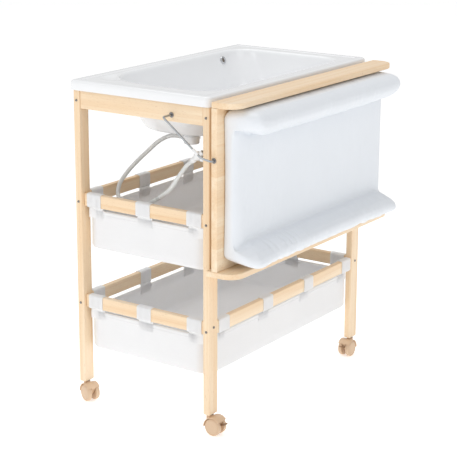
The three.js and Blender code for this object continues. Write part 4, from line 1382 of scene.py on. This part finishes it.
def makeStitchTree():
    # short stitches along each edge line
    tree, start, end = repeatTree("stitches", [("Spacing", 5 * mm), ("Length", 3.4 * mm),
                                               ("Thread Radius", 0.42 * mm)])
    curve = tree.nodes.new("GeometryNodeMeshToCurve")
    link(tree, start.outputs["Geometry"], curve.inputs["Mesh"])
    spread = tree.nodes.new("GeometryNodeResampleCurve")
    spread.mode = "LENGTH"
    link(tree, curve.outputs["Curve"], spread.inputs["Curve"])
    link(tree, start.outputs["Spacing"], spread.inputs["Length"])
    tangent = tree.nodes.new("GeometryNodeInputTangent")
    turn = tree.nodes.new("FunctionNodeAlignRotationToVector")
    turn.axis = "Z"
    link(tree, tangent.outputs[0], turn.inputs["Vector"])
    thread = tree.nodes.new("GeometryNodeMeshCone")
    thread.inputs["Vertices"].default_value = 6
    thread.inputs["Side Segments"].default_value = 1
    link(tree, product(tree, start.outputs["Thread Radius"], 0.8), thread.inputs["Radius Top"])
    link(tree, start.outputs["Thread Radius"], thread.inputs["Radius Bottom"])
    link(tree, start.outputs["Length"], thread.inputs["Depth"])
    standOn(tree, start, end, spread.outputs["Curve"], thread.outputs["Mesh"], turn)
    return tree


def repeated(name, mesh, tree, sizes, material, body):
    carrier = bpy.data.objects.new(name + "_points", mesh)
    scene.collection.objects.link(carrier)
    modifier = carrier.modifiers.new("repeat", "NODES")
    modifier.node_group = tree
    for label, value in {**sizes, "Material": material}.items():
        modifier[inputId(tree, label)] = value
    result = evaluatedMesh(carrier)
    carrier.modifiers.clear()
    bpy.data.objects.remove(carrier)
    return addPiece(name, result, body, material)


screwLook = {"Head Radius": 3.8 * mm, "Head Height": 2.2 * mm, "Socket Radius": 1.6 * mm}


def screwPlaces():
    # one through each end face and one through each long face of a post, at every rail
    for level in ("top", "upper", "lower"):
        low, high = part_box(f"{level}_rail_front")
        centre = (low.z + high.z) / 2
        for x in (-1, 1):
            for y in (-1, 1):
                yield Vector((x * halfL, middleY + y * postY, centre - 5.5 * mm)), Vector((x, 0, 0))
                yield Vector((x * postX, middleY + y * halfW, centre + 5.5 * mm)), Vector((0, y, 0))


def pointsMesh(name, places):
    spots = list(places)
    mesh = bpy.data.meshes.new(name)
    mesh.from_pydata([tuple(p) for p, _ in spots], [], [])
    way = mesh.attributes.new("way", "FLOAT_VECTOR", "POINT")
    way.data.foreach_set("vector", [c for _, w in spots for c in w])
    return mesh


screwTree = makeScrewTree()
repeated("frame_screws", pointsMesh("frame_screws", screwPlaces()), screwTree, screwLook, pinSteel, "frame")

stitchLook = {"Spacing": 5.2 * mm, "Length": 3.6 * mm, "Thread Radius": 0.42 * mm}


def lineMesh(name, lines):
    points, edges = [], []
    for line in lines:
        base, n = len(points), len(line)
        points += [tuple(p) for p in line]
        edges += [(base + i, base + (i + 1) % n) for i in range(n)]
    mesh = bpy.data.meshes.new(name)
    mesh.from_pydata(points, edges, [])
    return mesh


threadCloth = makePlastic("thread", (0.8, 0.805, 0.82), 0.7, fine=3000)
stitchTree = makeStitchTree()
for level, (basket, hems) in baskets.items():
    stitches = repeated(f"{level}_stitches", lineMesh("hem", hems), stitchTree, stitchLook, threadCloth,
                        "frame")
print("screws and stitches made")


studioLook = {
    "floor": (0.97, 0.97, 0.97),
    "floorGlow": 0.42,
    "floorReach": 14,
    "air": 0.66,
    "backdrop": 1.05,
    "lamps": [  # place, aim, size, power
        ((-1.6, -3.0, 3.2), (0, 0, 0.6), 2.2, 15),
        ((-3.6, 0.8, 2.2), (0, 0, 0.5), 2.0, 18),
        ((0.4, 0.8, 3.6), (0, 0, 0.9), 2.4, 24),
    ],
}


def makeStudio(look):
    reach = look["floorReach"]
    slab = boxMesh("floor", Vector((-reach, -reach, -0.06)), Vector((reach, reach, -0.0005)))
    floor = bpy.data.objects.new("floor", slab)
    material, tree, shader = newMaterial("studio_floor", 0.75)
    speckle = useGroup(tree, speckleGroup, objectVector(tree), Fine=40, Broad=0.6)
    darker = tuple(c * 0.995 for c in look["floor"])
    link(tree, mixColour(tree, speckle.outputs["Patch"], darker, look["floor"]), shader.inputs["Base Color"])
    shader.inputs["Emission Color"].default_value = (1, 1, 1, 1)
    shader.inputs["Emission Strength"].default_value = look["floorGlow"]
    floor.data.materials.append(material)
    scene.collection.objects.link(floor)
    world = bpy.data.worlds.new("air")
    world.use_nodes = True
    air = world.node_tree.nodes["Background"]
    air.inputs["Color"].default_value = (1, 1, 1, 1)
    rays = world.node_tree.nodes.new("ShaderNodeLightPath")
    strength = mapRange(world.node_tree, rays.outputs["Is Camera Ray"], 0, 1, look["air"], look["backdrop"])
    link(world.node_tree, strength, air.inputs["Strength"])
    scene.world = world
    for k, (place, aim, size, power) in enumerate(look["lamps"]):
        data = bpy.data.lights.new(f"lamp_{k}", "AREA")
        data.shape = "DISK"
        data.size = size
        data.energy = power
        lamp = bpy.data.objects.new(f"lamp_{k}", data)
        lamp.location = place
        lamp.rotation_euler = (Vector(aim) - Vector(place)).to_track_quat("-Z", "Y").to_euler()
        scene.collection.objects.link(lamp)
    scene.view_settings.view_transform = "Standard"


makeStudio(studioLook)
print("studio made")
